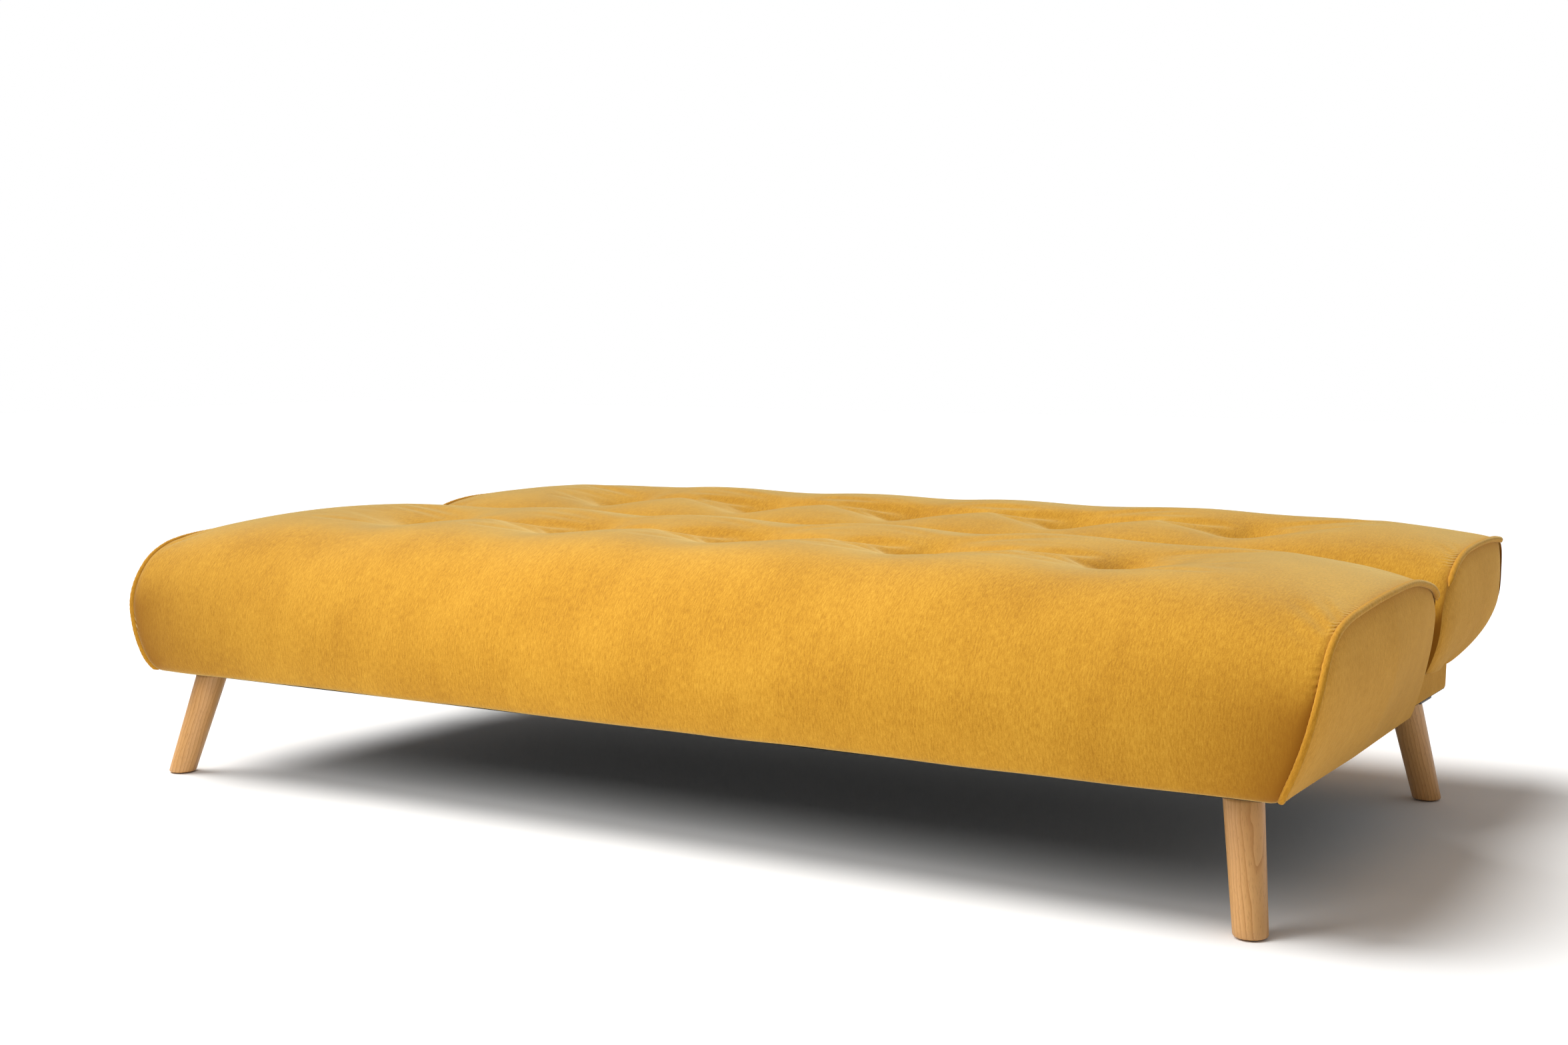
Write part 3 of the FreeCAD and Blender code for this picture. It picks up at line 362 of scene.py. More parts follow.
def set_attribute(made, name, values, kind="FLOAT"):
    """Stores one value for each vertex, which the materials read."""
    layer = made.data.attributes.new(name, kind, "POINT")
    layer.data.foreach_set("vector" if kind == "FLOAT_VECTOR" else "value", np.ravel(values))


def frozen(made):
    """Puts what the modifiers give into the piece's own mesh and removes them."""
    graph = bpy.context.evaluated_depsgraph_get()
    mesh = bpy.data.meshes.new_from_object(made.evaluated_get(graph), depsgraph=graph)
    made.modifiers.clear()
    made.data = mesh
    return made


def subdivided(made):
    """One level of smoothing, kept in the mesh."""
    step = made.modifiers.new("smooth", "SUBSURF")
    step.levels = step.render_levels = 1
    step.boundary_smooth = "PRESERVE_CORNERS"
    return frozen(made)


def grown(made, tree, sizes):
    """Runs a geometry tree on a piece, with its named sizes, and keeps the plain mesh."""
    step = made.modifiers.new(tree.name, "NODES")
    step.node_group = tree
    for item in tree.interface.items_tree:
        if item.item_type == "SOCKET" and item.in_out == "INPUT" and item.name in sizes:
            step[item.identifier] = sizes[item.name]
    return frozen(made)


def settle(made, pinned, pressure, frames, most):
    """Cloth under a light air pressure, its pinned vertices held; no point moves past most."""
    before = np.array([v.co for v in made.data.vertices])
    group = made.vertex_groups.new(name="sewn")
    group.add([int(i) for i in np.nonzero(pinned)[0]], 1.0, "REPLACE")
    cloth = made.modifiers.new("cloth", "CLOTH")
    settings = cloth.settings
    settings.quality = 6
    settings.mass = 0.35
    settings.tension_stiffness = 18
    settings.compression_stiffness = 18
    settings.shear_stiffness = 8
    settings.bending_stiffness = 0.9
    settings.use_pressure = True
    settings.uniform_pressure_force = pressure
    settings.vertex_group_mass = "sewn"
    settings.effector_weights.gravity = 0
    cloth.collision_settings.use_collision = False
    cloth.point_cache.frame_start = 1
    cloth.point_cache.frame_end = frames
    for step in range(1, frames + 1):
        bpy.context.scene.frame_set(step)
    graph = bpy.context.evaluated_depsgraph_get()
    moved = bpy.data.meshes.new_from_object(made.evaluated_get(graph), depsgraph=graph)
    shift = np.array([v.co for v in moved.vertices]) - before
    made.modifiers.clear()
    made.vertex_groups.clear()
    bpy.context.scene.frame_set(1)
    length = np.linalg.norm(shift, axis=1, keepdims=True)
    shift *= np.minimum(1.0, most / np.maximum(length, 1e-9))
    made.data.vertices.foreach_set("co", (before + shift).ravel())
    made.data.update()


# ---------------------------------------------------------------- geometry trees
def geometry_tree(name, sizes):
    """An empty tree with a geometry input and output and the named sizes as inputs."""
    tree = bpy.data.node_groups.new(name, "GeometryNodeTree")
    tree.interface.new_socket("Geometry", in_out="INPUT", socket_type="NodeSocketGeometry")
    for label, value in sizes.items():
        kind = "NodeSocketInt" if isinstance(value, int) else "NodeSocketFloat"
        tree.interface.new_socket(label, in_out="INPUT", socket_type=kind).default_value = value
    tree.interface.new_socket("Geometry", in_out="OUTPUT", socket_type="NodeSocketGeometry")
    return tree, add(tree, "NodeGroupInput", out=None).outputs


def close_tree(tree, geometry, finish):
    """Ends a tree: smooth, with real instances, in its material."""
    smooth = add(tree, "GeometryNodeSetShadeSmooth", {"Geometry": geometry})
    real = add(tree, "GeometryNodeRealizeInstances", {"Geometry": smooth})
    made = add(tree, "GeometryNodeSetMaterial", {"Geometry": real, "Material": finish})
    add(tree, "NodeGroupOutput", {"Geometry": made}, out=None)
    return tree


def bead_tree():
    """Piping: a round cord inside a bias strip, which ribs slightly as it goes round bends."""
    tree, sizes = geometry_tree("piping_bead", {
        "Bead radius": PIPING_R, "Sides": 12, "Step": 3 * MM, "Rib pitch": 5.5 * MM,
        "Rib depth": 0.05, "Tapered end": 16 * MM, "Seed": 4.0})
    path = add(tree, "GeometryNodeMeshToCurve", {"Mesh": sizes["Geometry"]})
    path = add(tree, "GeometryNodeResampleCurve", {"Curve": path, "Length": sizes["Step"]},
               mode="LENGTH")
    walked = add(tree, "GeometryNodeSplineParameter", out=1)
    path = add(tree, "GeometryNodeStoreNamedAttribute",
               {"Geometry": path, "Name": "along", "Value": walked}, data_type="FLOAT")
    turns = add(tree, "ShaderNodeMath", {0: walked, 1: sizes["Rib pitch"]}, operation="DIVIDE")
    spread = add(tree, "ShaderNodeTexNoise", {"W": sizes["Seed"], "Scale": 60.0},
                 noise_dimensions="4D")
    turns = add(tree, "ShaderNodeMath", {0: spread, 1: 3.0, 2: turns}, operation="MULTIPLY_ADD")
    angle = add(tree, "ShaderNodeMath", {0: turns, 1: 2 * math.pi}, operation="MULTIPLY")
    wave = add(tree, "ShaderNodeMath", {0: angle}, operation="SINE")
    swell = add(tree, "ShaderNodeMath", {0: wave, 1: sizes["Rib depth"], 2: 1.0},
                operation="MULTIPLY_ADD")
    # The bead shrinks away where it is let into the seam at each end
    whole = add(tree, "GeometryNodeCurveLength", {"Curve": path})
    left_over = add(tree, "ShaderNodeMath", {0: whole, 1: walked}, operation="SUBTRACT")
    nearest = add(tree, "ShaderNodeMath", {0: walked, 1: left_over}, operation="MINIMUM")
    share = add(tree, "ShaderNodeMath", {0: nearest, 1: sizes["Tapered end"]}, operation="DIVIDE")
    share = add(tree, "ShaderNodeMapRange", {"Value": share, "To Min": 0.25},
                interpolation_type="SMOOTHSTEP")
    swell = add(tree, "ShaderNodeMath", {0: swell, 1: share}, operation="MULTIPLY")
    ring = add(tree, "GeometryNodeCurvePrimitiveCircle",
               {"Resolution": sizes["Sides"], "Radius": sizes["Bead radius"]})
    round_way = add(tree, "GeometryNodeSplineParameter", out=1)
    ring = add(tree, "GeometryNodeStoreNamedAttribute",
               {"Geometry": ring, "Name": "round", "Value": round_way}, data_type="FLOAT")
    bead = add(tree, "GeometryNodeCurveToMesh",
               {"Curve": path, "Profile Curve": ring, "Scale": swell, "Fill Caps": True})
    along = add(tree, "GeometryNodeInputNamedAttribute", {"Name": "along"}, data_type="FLOAT")
    around = add(tree, "GeometryNodeInputNamedAttribute", {"Name": "round"}, data_type="FLOAT")
    place = add(tree, "ShaderNodeCombineXYZ", {"X": around, "Y": along})
    bead = add(tree, "GeometryNodeStoreNamedAttribute",
               {"Geometry": bead, "Name": "cloth", "Value": place},
               data_type="FLOAT2", domain="CORNER")
    return close_tree(tree, bead, BIAS)


def button_tree():
    """Covered buttons: one low dome, repeated at each point of a row."""
    tree, sizes = geometry_tree("covered_buttons", {
        "Button radius": BUTTON_R, "Dome": BUTTON_DOME, "Sides": 28, "Rings": 12})
    dome = add(tree, "GeometryNodeMeshUVSphere",
               {"Segments": sizes["Sides"], "Rings": sizes["Rings"], "Radius": sizes["Button radius"]})
    flat = add(tree, "ShaderNodeCombineXYZ", {"X": 1.0, "Y": 1.0, "Z": sizes["Dome"]})
    dome = add(tree, "GeometryNodeTransform", {"Geometry": dome, "Scale": flat})
    spots = add(tree, "GeometryNodeMeshToPoints", {"Mesh": sizes["Geometry"]})
    row = add(tree, "GeometryNodeInstanceOnPoints", {"Points": spots, "Instance": dome})
    row = add(tree, "GeometryNodeRealizeInstances", {"Geometry": row})
    place = add(tree, "GeometryNodeInputPosition")
    row = add(tree, "GeometryNodeStoreNamedAttribute",
              {"Geometry": row, "Name": "cloth", "Value": place},
              data_type="FLOAT2", domain="CORNER")
    return close_tree(tree, row, COVER)


def lining_tree():
    """Black strip folded round the inner edge of the skirt: a level leg and an upright leg
    swept along the boards."""
    tree, sizes = geometry_tree("skirt_lining", {
        "Level leg": LINING_LEGS[0], "Upright leg": LINING_LEGS[1], "Corner radius": 6 * MM})
    path = add(tree, "GeometryNodeMeshToCurve", {"Mesh": sizes["Geometry"]})
    path = add(tree, "GeometryNodeFilletCurve",
               {"Curve": path, "Radius": sizes["Corner radius"], "Count": 5}, mode="POLY")
    outward = add(tree, "ShaderNodeCombineXYZ", {"X": sizes["Level leg"]})
    level = add(tree, "GeometryNodeCurvePrimitiveLine", {"Start": outward, "End": (0.0, 0.0, 0.0)})
    upward = add(tree, "ShaderNodeMath", {0: sizes["Upright leg"], 1: -1.0}, operation="MULTIPLY")
    upward = add(tree, "ShaderNodeCombineXYZ", {"Y": upward})
    upright = add(tree, "GeometryNodeCurvePrimitiveLine", {"Start": (0.0, 0.0, 0.0), "End": upward})
    legs = add(tree, "GeometryNodeJoinGeometry", out=None)
    tree.links.new(level, legs.inputs[0])
    tree.links.new(upright, legs.inputs[0])
    strip = add(tree, "GeometryNodeCurveToMesh", {"Curve": path, "Profile Curve": legs.outputs[0]})
    strip = add(tree, "GeometryNodeMergeByDistance", {"Geometry": strip, "Distance": 0.0001})
    return close_tree(tree, strip, SPUNBOND)


# ---------------------------------------------------------------- upholstered slabs
class Slab:
    """The skin of one slab. Rows run along the length, columns round the profile.
    middle and end are outlines in (Y, Z): across the middle of the slab, and at its ends.
    half_at gives its half length, row_y is the row of buttons, and its top is above top_z."""

    def __init__(self, name, middle, end, half_at, row_y, top_z, quilt, along, around):
        self.name = name
        self.along = along
        self.middle = curve_through(middle, around)
        self.end = curve_through(end, around)
        self.half_at = half_at
        self.row_y = row_y
        self.top_z = top_z
        self.quilt = quilt

    def points(self):
        """Vertex places without the buttons. Rows crowd where the cover turns to the seam."""
        across = np.linspace(-1, 1, self.along)
        across = np.sign(across) * (1 - (1 - np.abs(across)) ** 1.3)
        end_x = self.half_at(self.end[:, 0], self.end[:, 1])
        rows = []
        for u in across:
            from_end = (1 - abs(u)) * end_x
            weight = 1 - (1 - np.clip(from_end / END_BLEND, 0, 1))[:, None] ** 2.6
            profile = self.end * (1 - weight) + self.middle * weight
            rows.append(np.stack([u * end_x, profile[:, 0], profile[:, 1]], 1))
        return np.array(rows)

    def quilted(self, grid):
        """Sinks the skin at the buttons, in the soft valleys between them and at the seams."""
        flat = grid.reshape(-1, 3)
        normals = grid_normals(grid).reshape(-1, 3)
        upward = smoothstep((normals[:, 2] - 0.3) / 0.55)
        depth = np.zeros(len(flat))
        q = self.quilt
        off_row = flat[:, 1] - self.row_y
        for x in BUTTON_XS:
            off = flat[:, 0] - x
            r = np.hypot(off, off_row)
            depth += q["bowl"] * np.exp(-(r / q["bowl_r"]) ** 2)
            depth += q["pull"] * np.exp(-(r / q["pull_r"]) ** 1.5)
            reach = np.exp(-(np.abs(off_row) / q["reach"]) ** 3)
            spread = q["width"] * (1 + np.abs(off_row) / 0.12)
            depth += q["column"] * reach * np.exp(-(off / spread) ** 2)
        inside = smoothstep((BUTTON_XS[-1] + 0.20 - np.abs(flat[:, 0])) / 0.2)
        depth += q["row"] * inside * np.exp(-(off_row / q["row_width"]) ** 2)
        depth *= upward
        from_seam = np.abs(grid[0, :, 0])[None, :] - np.abs(grid[:, :, 0])
        dip = SEAM_DIP * np.clip(1 - from_seam / SEAM_WIDTH, 0, 1) ** 2
        bumps = [noise.noise(Vector((x * 7, y * 7, z * 7 + self.row_y))) for x, y, z in flat]
        free = smoothstep(from_seam / 0.05).ravel()
        depth += dip.ravel() + UNEVEN * np.array(bumps) * free
        return (flat - normals * depth[:, None]).reshape(grid.shape)

    def pins(self, grid):
        """True on the sewn edges and under the buttons, where the fabric can't swell."""
        pinned = np.zeros(grid.shape[:2], bool)
        pinned[:2, :] = pinned[-2:, :] = True
        pinned[:, :3] = pinned[:, -3:] = True
        for x in BUTTON_XS:
            r = np.hypot(grid[:, :, 0] - x, grid[:, :, 1] - self.row_y)
            pinned[(r < BUTTON_FREE * BUTTON_R) & (grid[:, :, 2] > self.top_z)] = True
        return pinned.ravel()

    def dimple_floors(self, grid):
        """Where each button sits on the finished skin."""
        spots = []
        for x in BUTTON_XS:
            r = np.hypot(grid[:, :, 0] - x, grid[:, :, 1] - self.row_y)
            r[grid[:, :, 2] < self.top_z] = 9
            floor_z = grid.reshape(-1, 3)[np.argmin(r)][2]
            spots.append((x, self.row_y, floor_z + 1 * MM))
        return spots


def grid_normals(grid):
    """Outward directions of a skin grid."""
    normals = np.cross(np.gradient(grid, axis=0), np.gradient(grid, axis=1))
    return normals / np.maximum(np.linalg.norm(normals, axis=2, keepdims=True), 1e-12)


def seat_half(y, z):
    """Half length of the seat at a place on its end: boat-shaped below, tapered behind."""
    taper = np.clip((y - SEAT_ROW) / (SEAT_REAR - SEAT_ROW), 0, 1)
    tall = 0.150 + 0.050 * taper
    rise = np.clip((SKIRT_Z + tall - z) / tall, 0, 1)
    return SEAT_HALF - (0.043 - 0.003 * taper) * rise ** (1.9 - 0.8 * taper) - 0.010 * taper


def back_half(y, z):
    """Half length of the back at a place on its end."""
    rise = np.clip((BACK_UNDER + 0.080 - z) / 0.080, 0, 1)
    taper = np.clip((y - BACK_LOW[1]) / (REAR_Y - BACK_LOW[1]), 0, 1)
    return BACK_HALF - 0.022 * rise ** 1.8 - 0.015 * taper


def offsets(start_y, start_z, pairs):
    """(Y, Z) points in metres from millimetre offsets."""
    return [(start_y + y * MM, start_z + z * MM) for y, z in pairs]


# Seat: from under the front board, up the front, over the top and down into the crease
SEAT_MIDDLE = offsets(FRONT_Y, SKIRT_Z, [
    (30, 0), (15, 2), (7, 16), (1, 46), (0, 84), (7, 124), (27, 166), (62, 199), (112, 220),
    (180, 231), (300, 236), (420, 235), (500, 228), (560, 208), (600, 182), (614, 150),
    (615, 90), (614, 53), (598, 50.4)])
SEAT_ENDS = offsets(FRONT_Y, SKIRT_Z, [
    (28, 0), (14, 2), (4, 16), (-1, 44), (-1, 78), (4, 112), (20, 146), (44, 174), (76, 192),
    (114, 201), (180, 207), (300, 213), (420, 212), (490, 204), (552, 190), (592, 168),
    (608, 132), (612, 90), (612, 53), (598, 50.4)])
# Back: all the way round, from the lining, up the crease, over the top and round underneath
BACK_MIDDLE = offsets(BACK_LOW[1], BACK_UNDER, [
    (120, 3.4), (40, 3), (10, 4), (3, 14), (4, 60), (5, 96), (10, 120), (24, 142), (54, 161),
    (98, 173), (160, 180), (260, 182), (340, 181), (392, 175), (428, 156), (450, 128),
    (456, 98), (448, 74), (424, 55), (370, 35), (300, 21), (200, 6), (132, 4)])
BACK_ENDS = offsets(BACK_LOW[1], BACK_UNDER, [
    (120, 3.4), (40, 3), (10, 4), (3, 14), (3, 58), (8, 88), (28, 114), (60, 139), (98, 156),
    (160, 167), (260, 170), (340, 168), (396, 164), (436, 157), (453, 142), (457, 110),
    (450, 76), (424, 52), (370, 34), (300, 20), (200, 6), (132, 4)])

SEAT = Slab("seat_upholstery", SEAT_MIDDLE, SEAT_ENDS, seat_half, SEAT_ROW, SEAT_HIGH[2] - 0.08,
            dict(bowl=0.024, bowl_r=0.056, pull=0.009, pull_r=0.026, column=0.010, reach=0.26,
                 width=0.036, row=0.004, row_width=0.05), 211, 105)
BACK = Slab("back_upholstery", BACK_MIDDLE, BACK_ENDS, back_half, BACK_ROW, BACK_HIGH[2] - 0.08,
            dict(bowl=0.023, bowl_r=0.054, pull=0.008, pull_r=0.026, column=0.009, reach=0.19,
                 width=0.036, row=0.004, row_width=0.05), 207, 121)


def hinge_slots(grid):
    """Cells of the skin cut away where the hinge plates come through the crease walls."""
    x, y, z = grid[:, :, 0], grid[:, :, 1], grid[:, :, 2]
    middle_x = (PLATE_LOW[0] + PLATE_HIGH[0]) / 2
    near_plate = np.abs(np.abs(x) - middle_x) < SLOT_HALF
    near_hinge = np.abs(y - HINGE.y) < SLOT_REACH
    return near_plate & near_hinge & (z < HINGE.z + SLOT_RISE)


def make_skin(slab):
    """The wrapped cover of a slab: quilted, swollen by its filling and smoothed."""
    grid = slab.quilted(slab.points())
    rows, columns = grid.shape[:2]
    steps = np.linalg.norm(np.diff(grid, axis=1), axis=2)
    walked = np.concatenate([np.zeros((rows, 1)), np.cumsum(steps, axis=1)], axis=1)
    uv = np.stack([grid[:, :, 0].ravel(), walked.ravel()], 1)
    slots = hinge_slots(grid).ravel()
    faces = [f for f in grid_faces(rows, columns, flip=True) if not any(slots[i] for i in f)]
    made = piece(slab.name, grid.reshape(-1, 3), faces, COVER, uv)
    settle(made, slab.pins(grid), SWELL_PRESSURE, SWELL_FRAMES, SWELL_LIMIT)
    vertices = np.empty(len(made.data.vertices) * 3)
    made.data.vertices.foreach_get("co", vertices)
    final = vertices.reshape(grid.shape)
    from_seam = np.abs(final[0, :, 0])[None, :] - np.abs(final[:, :, 0])
    from_seam = np.clip(from_seam, 0, 1)
    upright = 1 - smoothstep((grid_normals(final)[:, :, 2] - 0.1) / 0.6)
    set_attribute(made, "seam", np.exp(-from_seam / 0.008))
    # Painted shade: upright cloth within about 70 mm of each end seam is darkened, and all cloth in the last few
    # millimetres
    painted_seam_shade = np.exp(-from_seam / 0.07) * upright
    set_attribute(made, "painted_seam_shade", np.clip(painted_seam_shade + 0.6 * np.exp(-from_seam / 0.004), 0, 1))
    return subdivided(made), final


def seam_line(edge, side, keep):
    """The part of a slab's end seam that carries a bead, which rolls a little outwards."""
    middle = (edge.min(axis=0) + edge.max(axis=0)) / 2
    inward = middle - edge
    inward /= np.linalg.norm(inward, axis=1, keepdims=True)
    line = edge + inward * PIPING_IN + np.array([side * PIPING_OUT, 0, 0])
    return line[[keep(y, z) for _, y, z in line]]


def make_bead(name, line, node, body):
    """Piping along a line of points."""
    count = len(line)
    made = piece(name, line, [], None, edges=[(i, i + 1) for i in range(count - 1)])
    grown(made, BEAD, {"Seed": float(len(name))})
    finish_piece(made, body, "cover_fabric", node)


def end_panel(name, edge, slab, low_z, side, bulge, inner_x, hem_x):
    """Fabric from the seam down to the slab's lower edge, swelling gently outwards, turned in
    round the rear corner as far as inner_x and turned under as far as hem_x."""
    rungs, front, rear_y = 27, edge[0], edge[-1][1]
    if inner_x:
        # The skin's own rear hem stays inside; the panel runs on down behind the end board
        edge = edge[:np.nonzero(edge[:, 1] > edge[:, 1].max() - 3 * MM)[0][-1] + 1]
        rear_y = max(edge[-1][1], BOARD_HIGH[1] + 1.5 * MM)
    count = len(edge)
    rows = []
    for t in np.linspace(0, 1, rungs):
        row = []
        for i, point in enumerate(edge):
            s = i / (count - 1)
            foot = np.array([0, front[1] + (rear_y - front[1]) * min(1, s * 1.16), low_z])
            spot = point * (1 - t) + foot * t
            half = abs(point[0]) if t == 0 else slab.half_at(spot[1], spot[2])
            crown = (1 - (1 - min(t * 2.2, 1)) ** 2) * math.sin(math.pi * s) ** 0.5
            tuck = SEAM_DIP * max(0.0, 1 - t * 9)
            row.append((side * (half + bulge * crown * (1 - t ** 6) - tuck), spot[1], spot[2]))
        if inner_x:
            turn_x, turn_y, turn_z = row[-1]
            for k in (0.08, 0.5, 1.0):
                x = abs(turn_x) * (1 - k) + inner_x * k
                row.append((side * x, turn_y + 0.6 * MM, turn_z))
        rows.append(row)
    for k in (0.12, 1.0):
        rows.append([(x + (side * min(hem_x, abs(x)) - x) * k, y, z + 0.4 * MM * k)
                     for x, y, z in rows[rungs - 1]])
    rungs += 2
    grid = np.array(rows)
    uv = np.stack([grid[:, :, 1].ravel() - side * grid[:, :, 0].ravel(), grid[:, :, 2].ravel()], 1)
    faces = grid_faces(rungs, grid.shape[1], flip=side > 0)
    made = piece(name, grid.reshape(-1, 3), faces, PANEL, uv)
    depth = np.linspace(0, 1, rungs)[:, None] * np.ones(grid.shape[1])
    set_attribute(made, "seam", np.exp(-depth / 0.05))
    # Painted shade along the top of the end fabric, beside the seam
    set_attribute(made, "painted_seam_shade", 0.8 * np.exp(-depth / 0.03))
    return subdivided(made)


def finish_piece(made, body, slot, *nodes, fill=None):
    """Hangs a visual piece on its body and hides the frame nodes that it stands in for."""
    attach(made, body)
    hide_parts(*nodes)


def on_seat_seam(y, z):
    return y < SEAT_REAR - PIPING_STOP


def on_back_seam(y, z):
    above, ahead = BACK_PIPING
    return z > BACK_UNDER + above and BACK_LOW[1] + PIPING_STOP < y < REAR_Y - ahead


def make_slab(slab, body, low_z, inner_x, hem_x, keep, nodes):
    """Cover, end fabric, beads and buttons of one slab; keep says where a bead runs."""
    skin, grid = make_skin(slab)
    finish_piece(skin, body, "cover_fabric", *nodes, fill=0.8)
    for side_name, index, side in (("left", 0, -1), ("right", -1, 1)):
        edge = grid[index]
        panel = end_panel("%s_end_upholstery_%s" % (body, side_name), edge, slab, low_z, side,
                          PANEL_BULGE, inner_x, hem_x)
        finish_piece(panel, body, "end_fabric", "%s_end_panel_%s" % (body, side_name), fill=0.8)
        make_bead("%s_bead_%s" % (body, side_name), seam_line(edge, side, keep),
                  "%s_piping_%s" % (body, side_name), body)
    buttons = piece("covered_%s_buttons" % body, slab.dimple_floors(grid), [], None)
    grown(buttons, BUTTONS, {})
    finish_piece(buttons, body, "cover_fabric", body + "_buttons")


def make_skirt_lining():
    """Follows the inner faces of the seat's end and front boards."""
    inner_y = FRONT_Y + 34.2 * MM
    x, z = SKIRT_INNER - 1.0 * MM, SKIRT_Z - 0.5 * MM
    rear = SEAT_REAR - 6 * MM
    line = [(-x, rear, z), (-x, inner_y, z), (x, inner_y, z), (x, rear, z)]
    made = piece("seat_skirt_lining", line, [], None, edges=[(0, 1), (1, 2), (2, 3)])
    grown(made, LINING, {"Level leg": LINING_LEGS[0], "Upright leg": LINING_LEGS[1]})
    finish_piece(made, "seat", "lining_fabric")


# ---------------------------------------------------------------- base and legs
def make_base_wrap():
    """Fabric drawn tight round the base box and turned over its edges."""
    low, high = np.array(BASE_LOW), np.array(BASE_HIGH)
    corner, tall = BASE_CORNER, high[2] - low[2]
    centres = [(high[0] - corner, low[1] + corner, -90), (high[0] - corner, high[1] - corner, 0),
               (low[0] + corner, high[1] - corner, 90), (low[0] + corner, low[1] + corner, 180)]
    loop = []
    for x, y, start in centres:
        for angle in np.radians(start + 22.5 * np.arange(5)):
            across, away = math.cos(angle), math.sin(angle)
            loop.append((x + corner * across, y + corner * away, across, away))
    dense = []
    for here, there in zip(loop, loop[1:] + loop[:1]):
        parts = max(1, int(math.hypot(there[0] - here[0], there[1] - here[1]) / 0.03))
        dense += [[a + (b - a) * k / parts for a, b in zip(here, there)] for k in range(parts)]
    # How far out and how high each rung lies: hem, rounded edge, wall, rounded edge, hem
    under, over = low[2] - 0.8 * MM, high[2] + 0.8 * MM
    rungs = [(-BASE_HEM, under), (-2 * MM, under), (-0.5 * MM, low[2])]
    rungs += [(0.6 * MM, low[2] + tall * t) for t in np.linspace(0.06, 0.94, 8)]
    rungs += [(-0.5 * MM, high[2]), (-2 * MM, over), (-BASE_HEM, over)]
    vertices, uv = [], []
    walked = 0.0
    for i, (x, y, across, away) in enumerate(dense):
        if i:
            walked += math.hypot(x - dense[i - 1][0], y - dense[i - 1][1])
        for tight, z in rungs:
            loose = 0.5 * MM * noise.noise(Vector((x * 9, y * 9, z * 9))) if tight > 0 else 0
            out = tight + loose
            lean = BASE_LEAN * (z - low[2]) / tall * max(away, 0.0)
            vertices.append((x + across * out, y + away * out + lean, z))
            uv.append((walked, z + tight))
    made = piece("base_wrap", vertices, grid_faces(len(dense), len(rungs), True, True), PANEL, uv)
    finish_piece(subdivided(made), "base", "cover_fabric", "base_cover")


def make_leg(node):
    """Turned, tapered leg, splayed outwards, cut level at both ends with eased edges."""
    low, high = [Vector(corner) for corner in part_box(node)]
    out_x = 1 if high.x > 0 else -1
    out_y = -1 if high.y < 0 else 1
    lean = Vector((out_x * LEG_SPLAY[0], out_y * LEG_SPLAY[1], -LEG_SPLAY[2])).normalized()
    wide_x = math.hypot(1, lean.x / lean.z)
    wide_y = math.hypot(1, lean.y / lean.z)
    foot = Vector(((high.x if out_x > 0 else low.x) - out_x * LEG_FOOT_R * wide_x,
                   (low.y if out_y < 0 else high.y) - out_y * LEG_FOOT_R * wide_y, low.z))
    top = foot - lean * ((high.z - low.z) / -lean.z)
    sides = 48
    eased = [(0.0, 2.2), (0.8, 0.8), (2.4, 0.0)]
    levels = [low.z + rise * MM for rise, _ in eased] + list(np.linspace(low.z + 0.012, high.z, 25))
    bites = [bite * MM for _, bite in eased] + [0.0] * 25
    vertices, grain = [], []
    for level, bite in zip(levels, bites):
        t = (level - foot.z) / (top.z - foot.z)
        centre = foot.lerp(top, t)
        radius = LEG_FOOT_R + (LEG_TOP_R - LEG_FOOT_R) * t - bite
        for angle in np.linspace(0, 2 * math.pi, sides, endpoint=False):
            off_x, off_y = radius * math.cos(angle), radius * math.sin(angle)
            vertices.append((centre.x + wide_x * off_x, centre.y + wide_y * off_y, level))
            grain.append((off_x + foot.x, off_y + foot.y, level))
    count = len(levels)
    faces = [(i * sides + k, i * sides + (k + 1) % sides, (i + 1) * sides + (k + 1) % sides,
              (i + 1) * sides + k) for i in range(count - 1) for k in range(sides)]
    faces.append(tuple(range(sides))[::-1])
    faces.append(tuple((count - 1) * sides + k for k in range(sides)))
    made = piece(node + "_turned", vertices, faces, BEECH)
    set_attribute(made, "grain", grain, "FLOAT_VECTOR")
    for face in made.data.polygons[-2:]:
        face.use_smooth = False
    finish_piece(made, "base", "leg_wood", node)


def finish_cad_nodes():
    """Carried-over nodes take a worked material from their record slot."""
    by_slot = {"timber": PINE, "lining_fabric": SPUNBOND, "foam": FOAM, "wadding": WADDING,
               "spring_steel": WIRE, "bracket_steel": POWDER_COAT, "bolt_steel": ZINC,
               "glide_plastic": GLIDE, "leg_wood": BEECH, "cover_fabric": COVER, "end_fabric": PANEL}
    for row in frame["record"]["subparts"]:
        finish = FELT if row["node"].endswith("spring_pad") else by_slot[row["material_slot"]]
        for place in frame["nodes"][row["node"]].material_slots:
            place.material = finish


# ---------------------------------------------------------------- light and camera
def make_lamp(name, kind, place, target, energy, **settings):
    """A lamp that faces its target."""
    lamp = bpy.data.lights.new(name, kind)
    lamp.energy = energy
    for key, value in settings.items():
        setattr(lamp, key, value)
    made = bpy.data.objects.new(name, lamp)
    made.location = place
    made.rotation_euler = (Vector(target) - Vector(place)).to_track_quat("-Z", "Y").to_euler()
    bpy.context.scene.collection.objects.link(made)


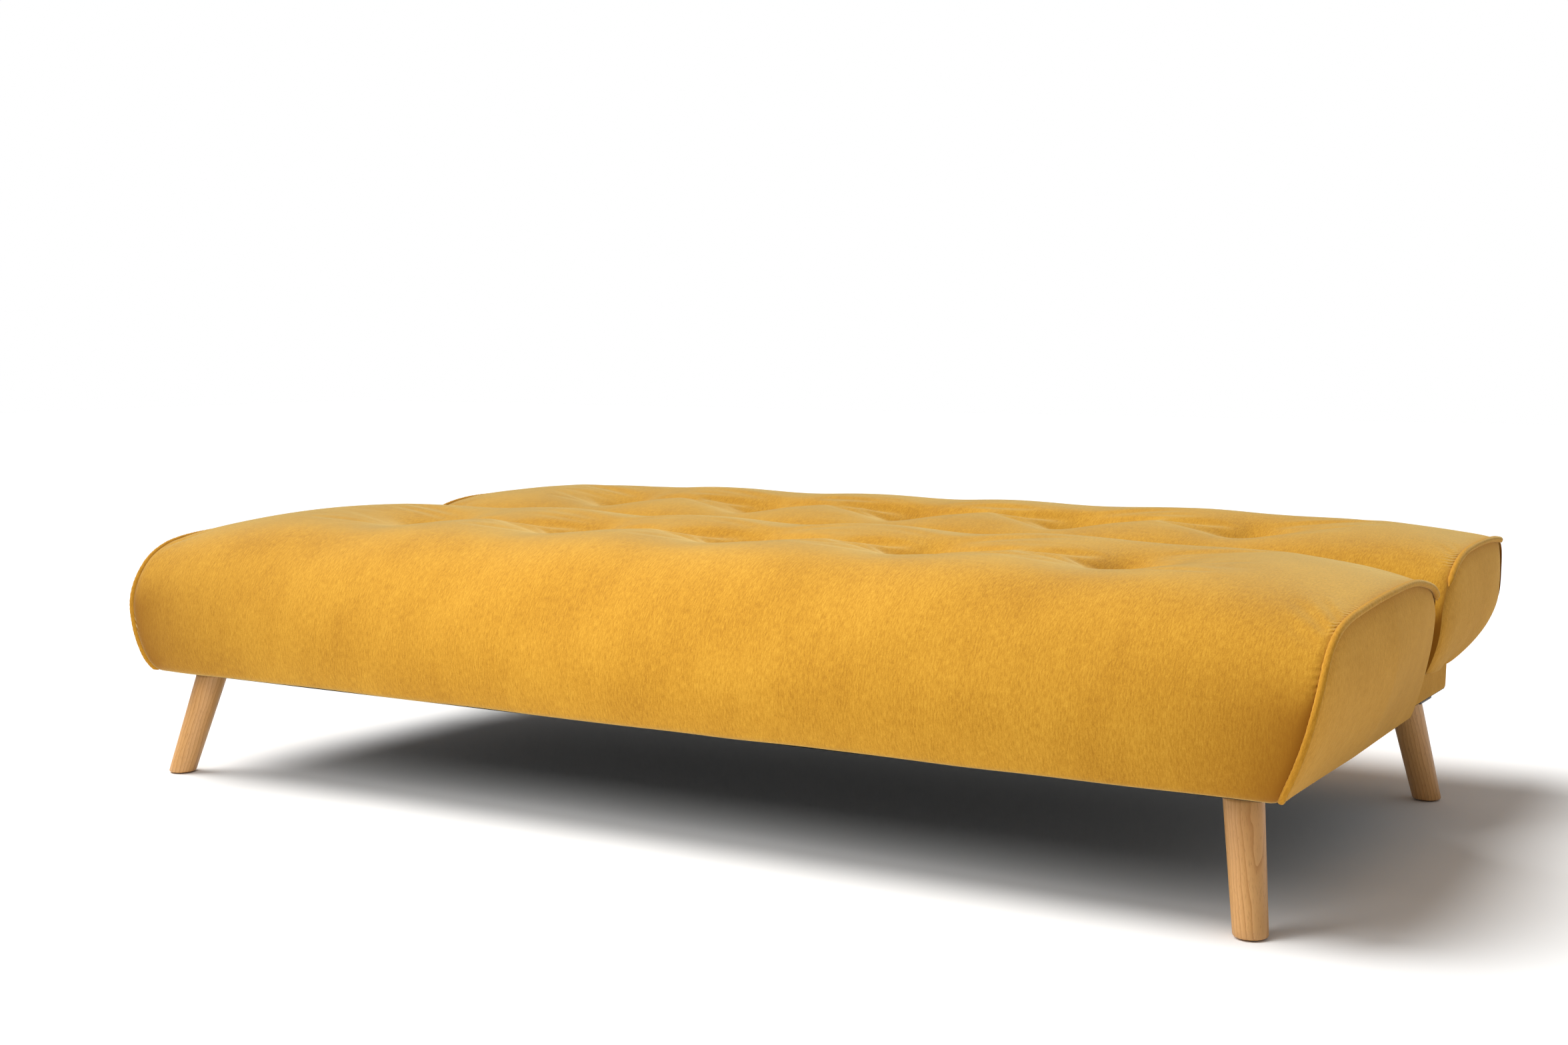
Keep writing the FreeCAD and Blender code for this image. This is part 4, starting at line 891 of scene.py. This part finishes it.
def make_studio():
    """White floor under a large soft light from the upper left, with a small one in front."""
    made, tree, shader = new_material("pale_studio_floor", 0.9, Specular_IOR_Level=0.1)
    body = add(tree, "ShaderNodeTexCoord", out=3)
    mottle = add(tree, "ShaderNodeTexNoise", {"Vector": body, "Scale": 3.0, "Detail": 2.0})
    colour = add(tree, "ShaderNodeValToRGB", {"Fac": mottle},
                 stops=((0.3, "#F6F6F5"), (0.7, "#FBFBFA")))
    tree.links.new(colour, shader.inputs["Base Color"])
    reach = 14.0
    corners = [(-reach, -reach, 0), (reach, -reach, 0), (reach, reach, 0), (-reach, reach, 0)]
    piece("studio_floor", corners, [(0, 1, 2, 3)], made)

    world = bpy.data.worlds.new("studio")
    world.use_nodes = True
    tree = world.node_tree
    # White where the camera sees it, and dimmer as light on the sofa
    seen = add(tree, "ShaderNodeLightPath", out="Is Camera Ray")
    strength = add(tree, "ShaderNodeMapRange", {"Value": seen, "To Min": 0.31, "To Max": 1.0})
    tree.nodes["Background"].inputs["Color"].default_value = linear("#FFFFFF")
    tree.links.new(strength, tree.nodes["Background"].inputs["Strength"])
    bpy.context.scene.world = world
    make_lamp("sky_panel", "SUN", (-0.50, -0.06, 0.87), (0, 0, 0), 3.7, angle=math.radians(45))
    make_lamp("key", "AREA", (-0.15, -1.35, 0.9), (-0.05, -0.5, 0.3), 7.0,
              shape="RECTANGLE", size=0.7, size_y=0.6)


def make_camera():
    """Stands ahead and to the right of the sofa and looks slightly down."""
    lens = bpy.data.cameras.new("camera")
    lens.lens = CAMERA_LENS
    lens.sensor_width = 36.0
    made = bpy.data.objects.new("camera", lens)
    made.location = CAMERA_PLACE
    made.rotation_euler = (math.radians(90 - CAMERA_DOWN), 0, math.radians(CAMERA_TURN))
    bpy.context.scene.collection.objects.link(made)
    bpy.context.scene.camera = made


BEAD = bead_tree()
BUTTONS = button_tree()
LINING = lining_tree()
# Colours are shown as they are mixed, with no film look laid over them
bpy.context.scene.view_settings.view_transform = "Standard"
make_camera()
make_studio()
finish_cad_nodes()
make_slab(SEAT, "seat", SKIRT_Z, SKIRT_INNER, SKIRT_INNER + SKIRT_HEM, on_seat_seam,
          ("seat_cover", "seat_wadding", "seat_foam", "seat_front_pad", "seat_end_pads"))
make_slab(BACK, "back", BACK_UNDER + 3 * MM, None, NO_HEM, on_back_seam,
          ("back_cover", "back_wadding", "back_foam"))
make_skirt_lining()
make_base_wrap()
for leg in ("leg_front_left", "leg_front_right", "leg_rear_left", "leg_rear_right"):
    make_leg(leg)
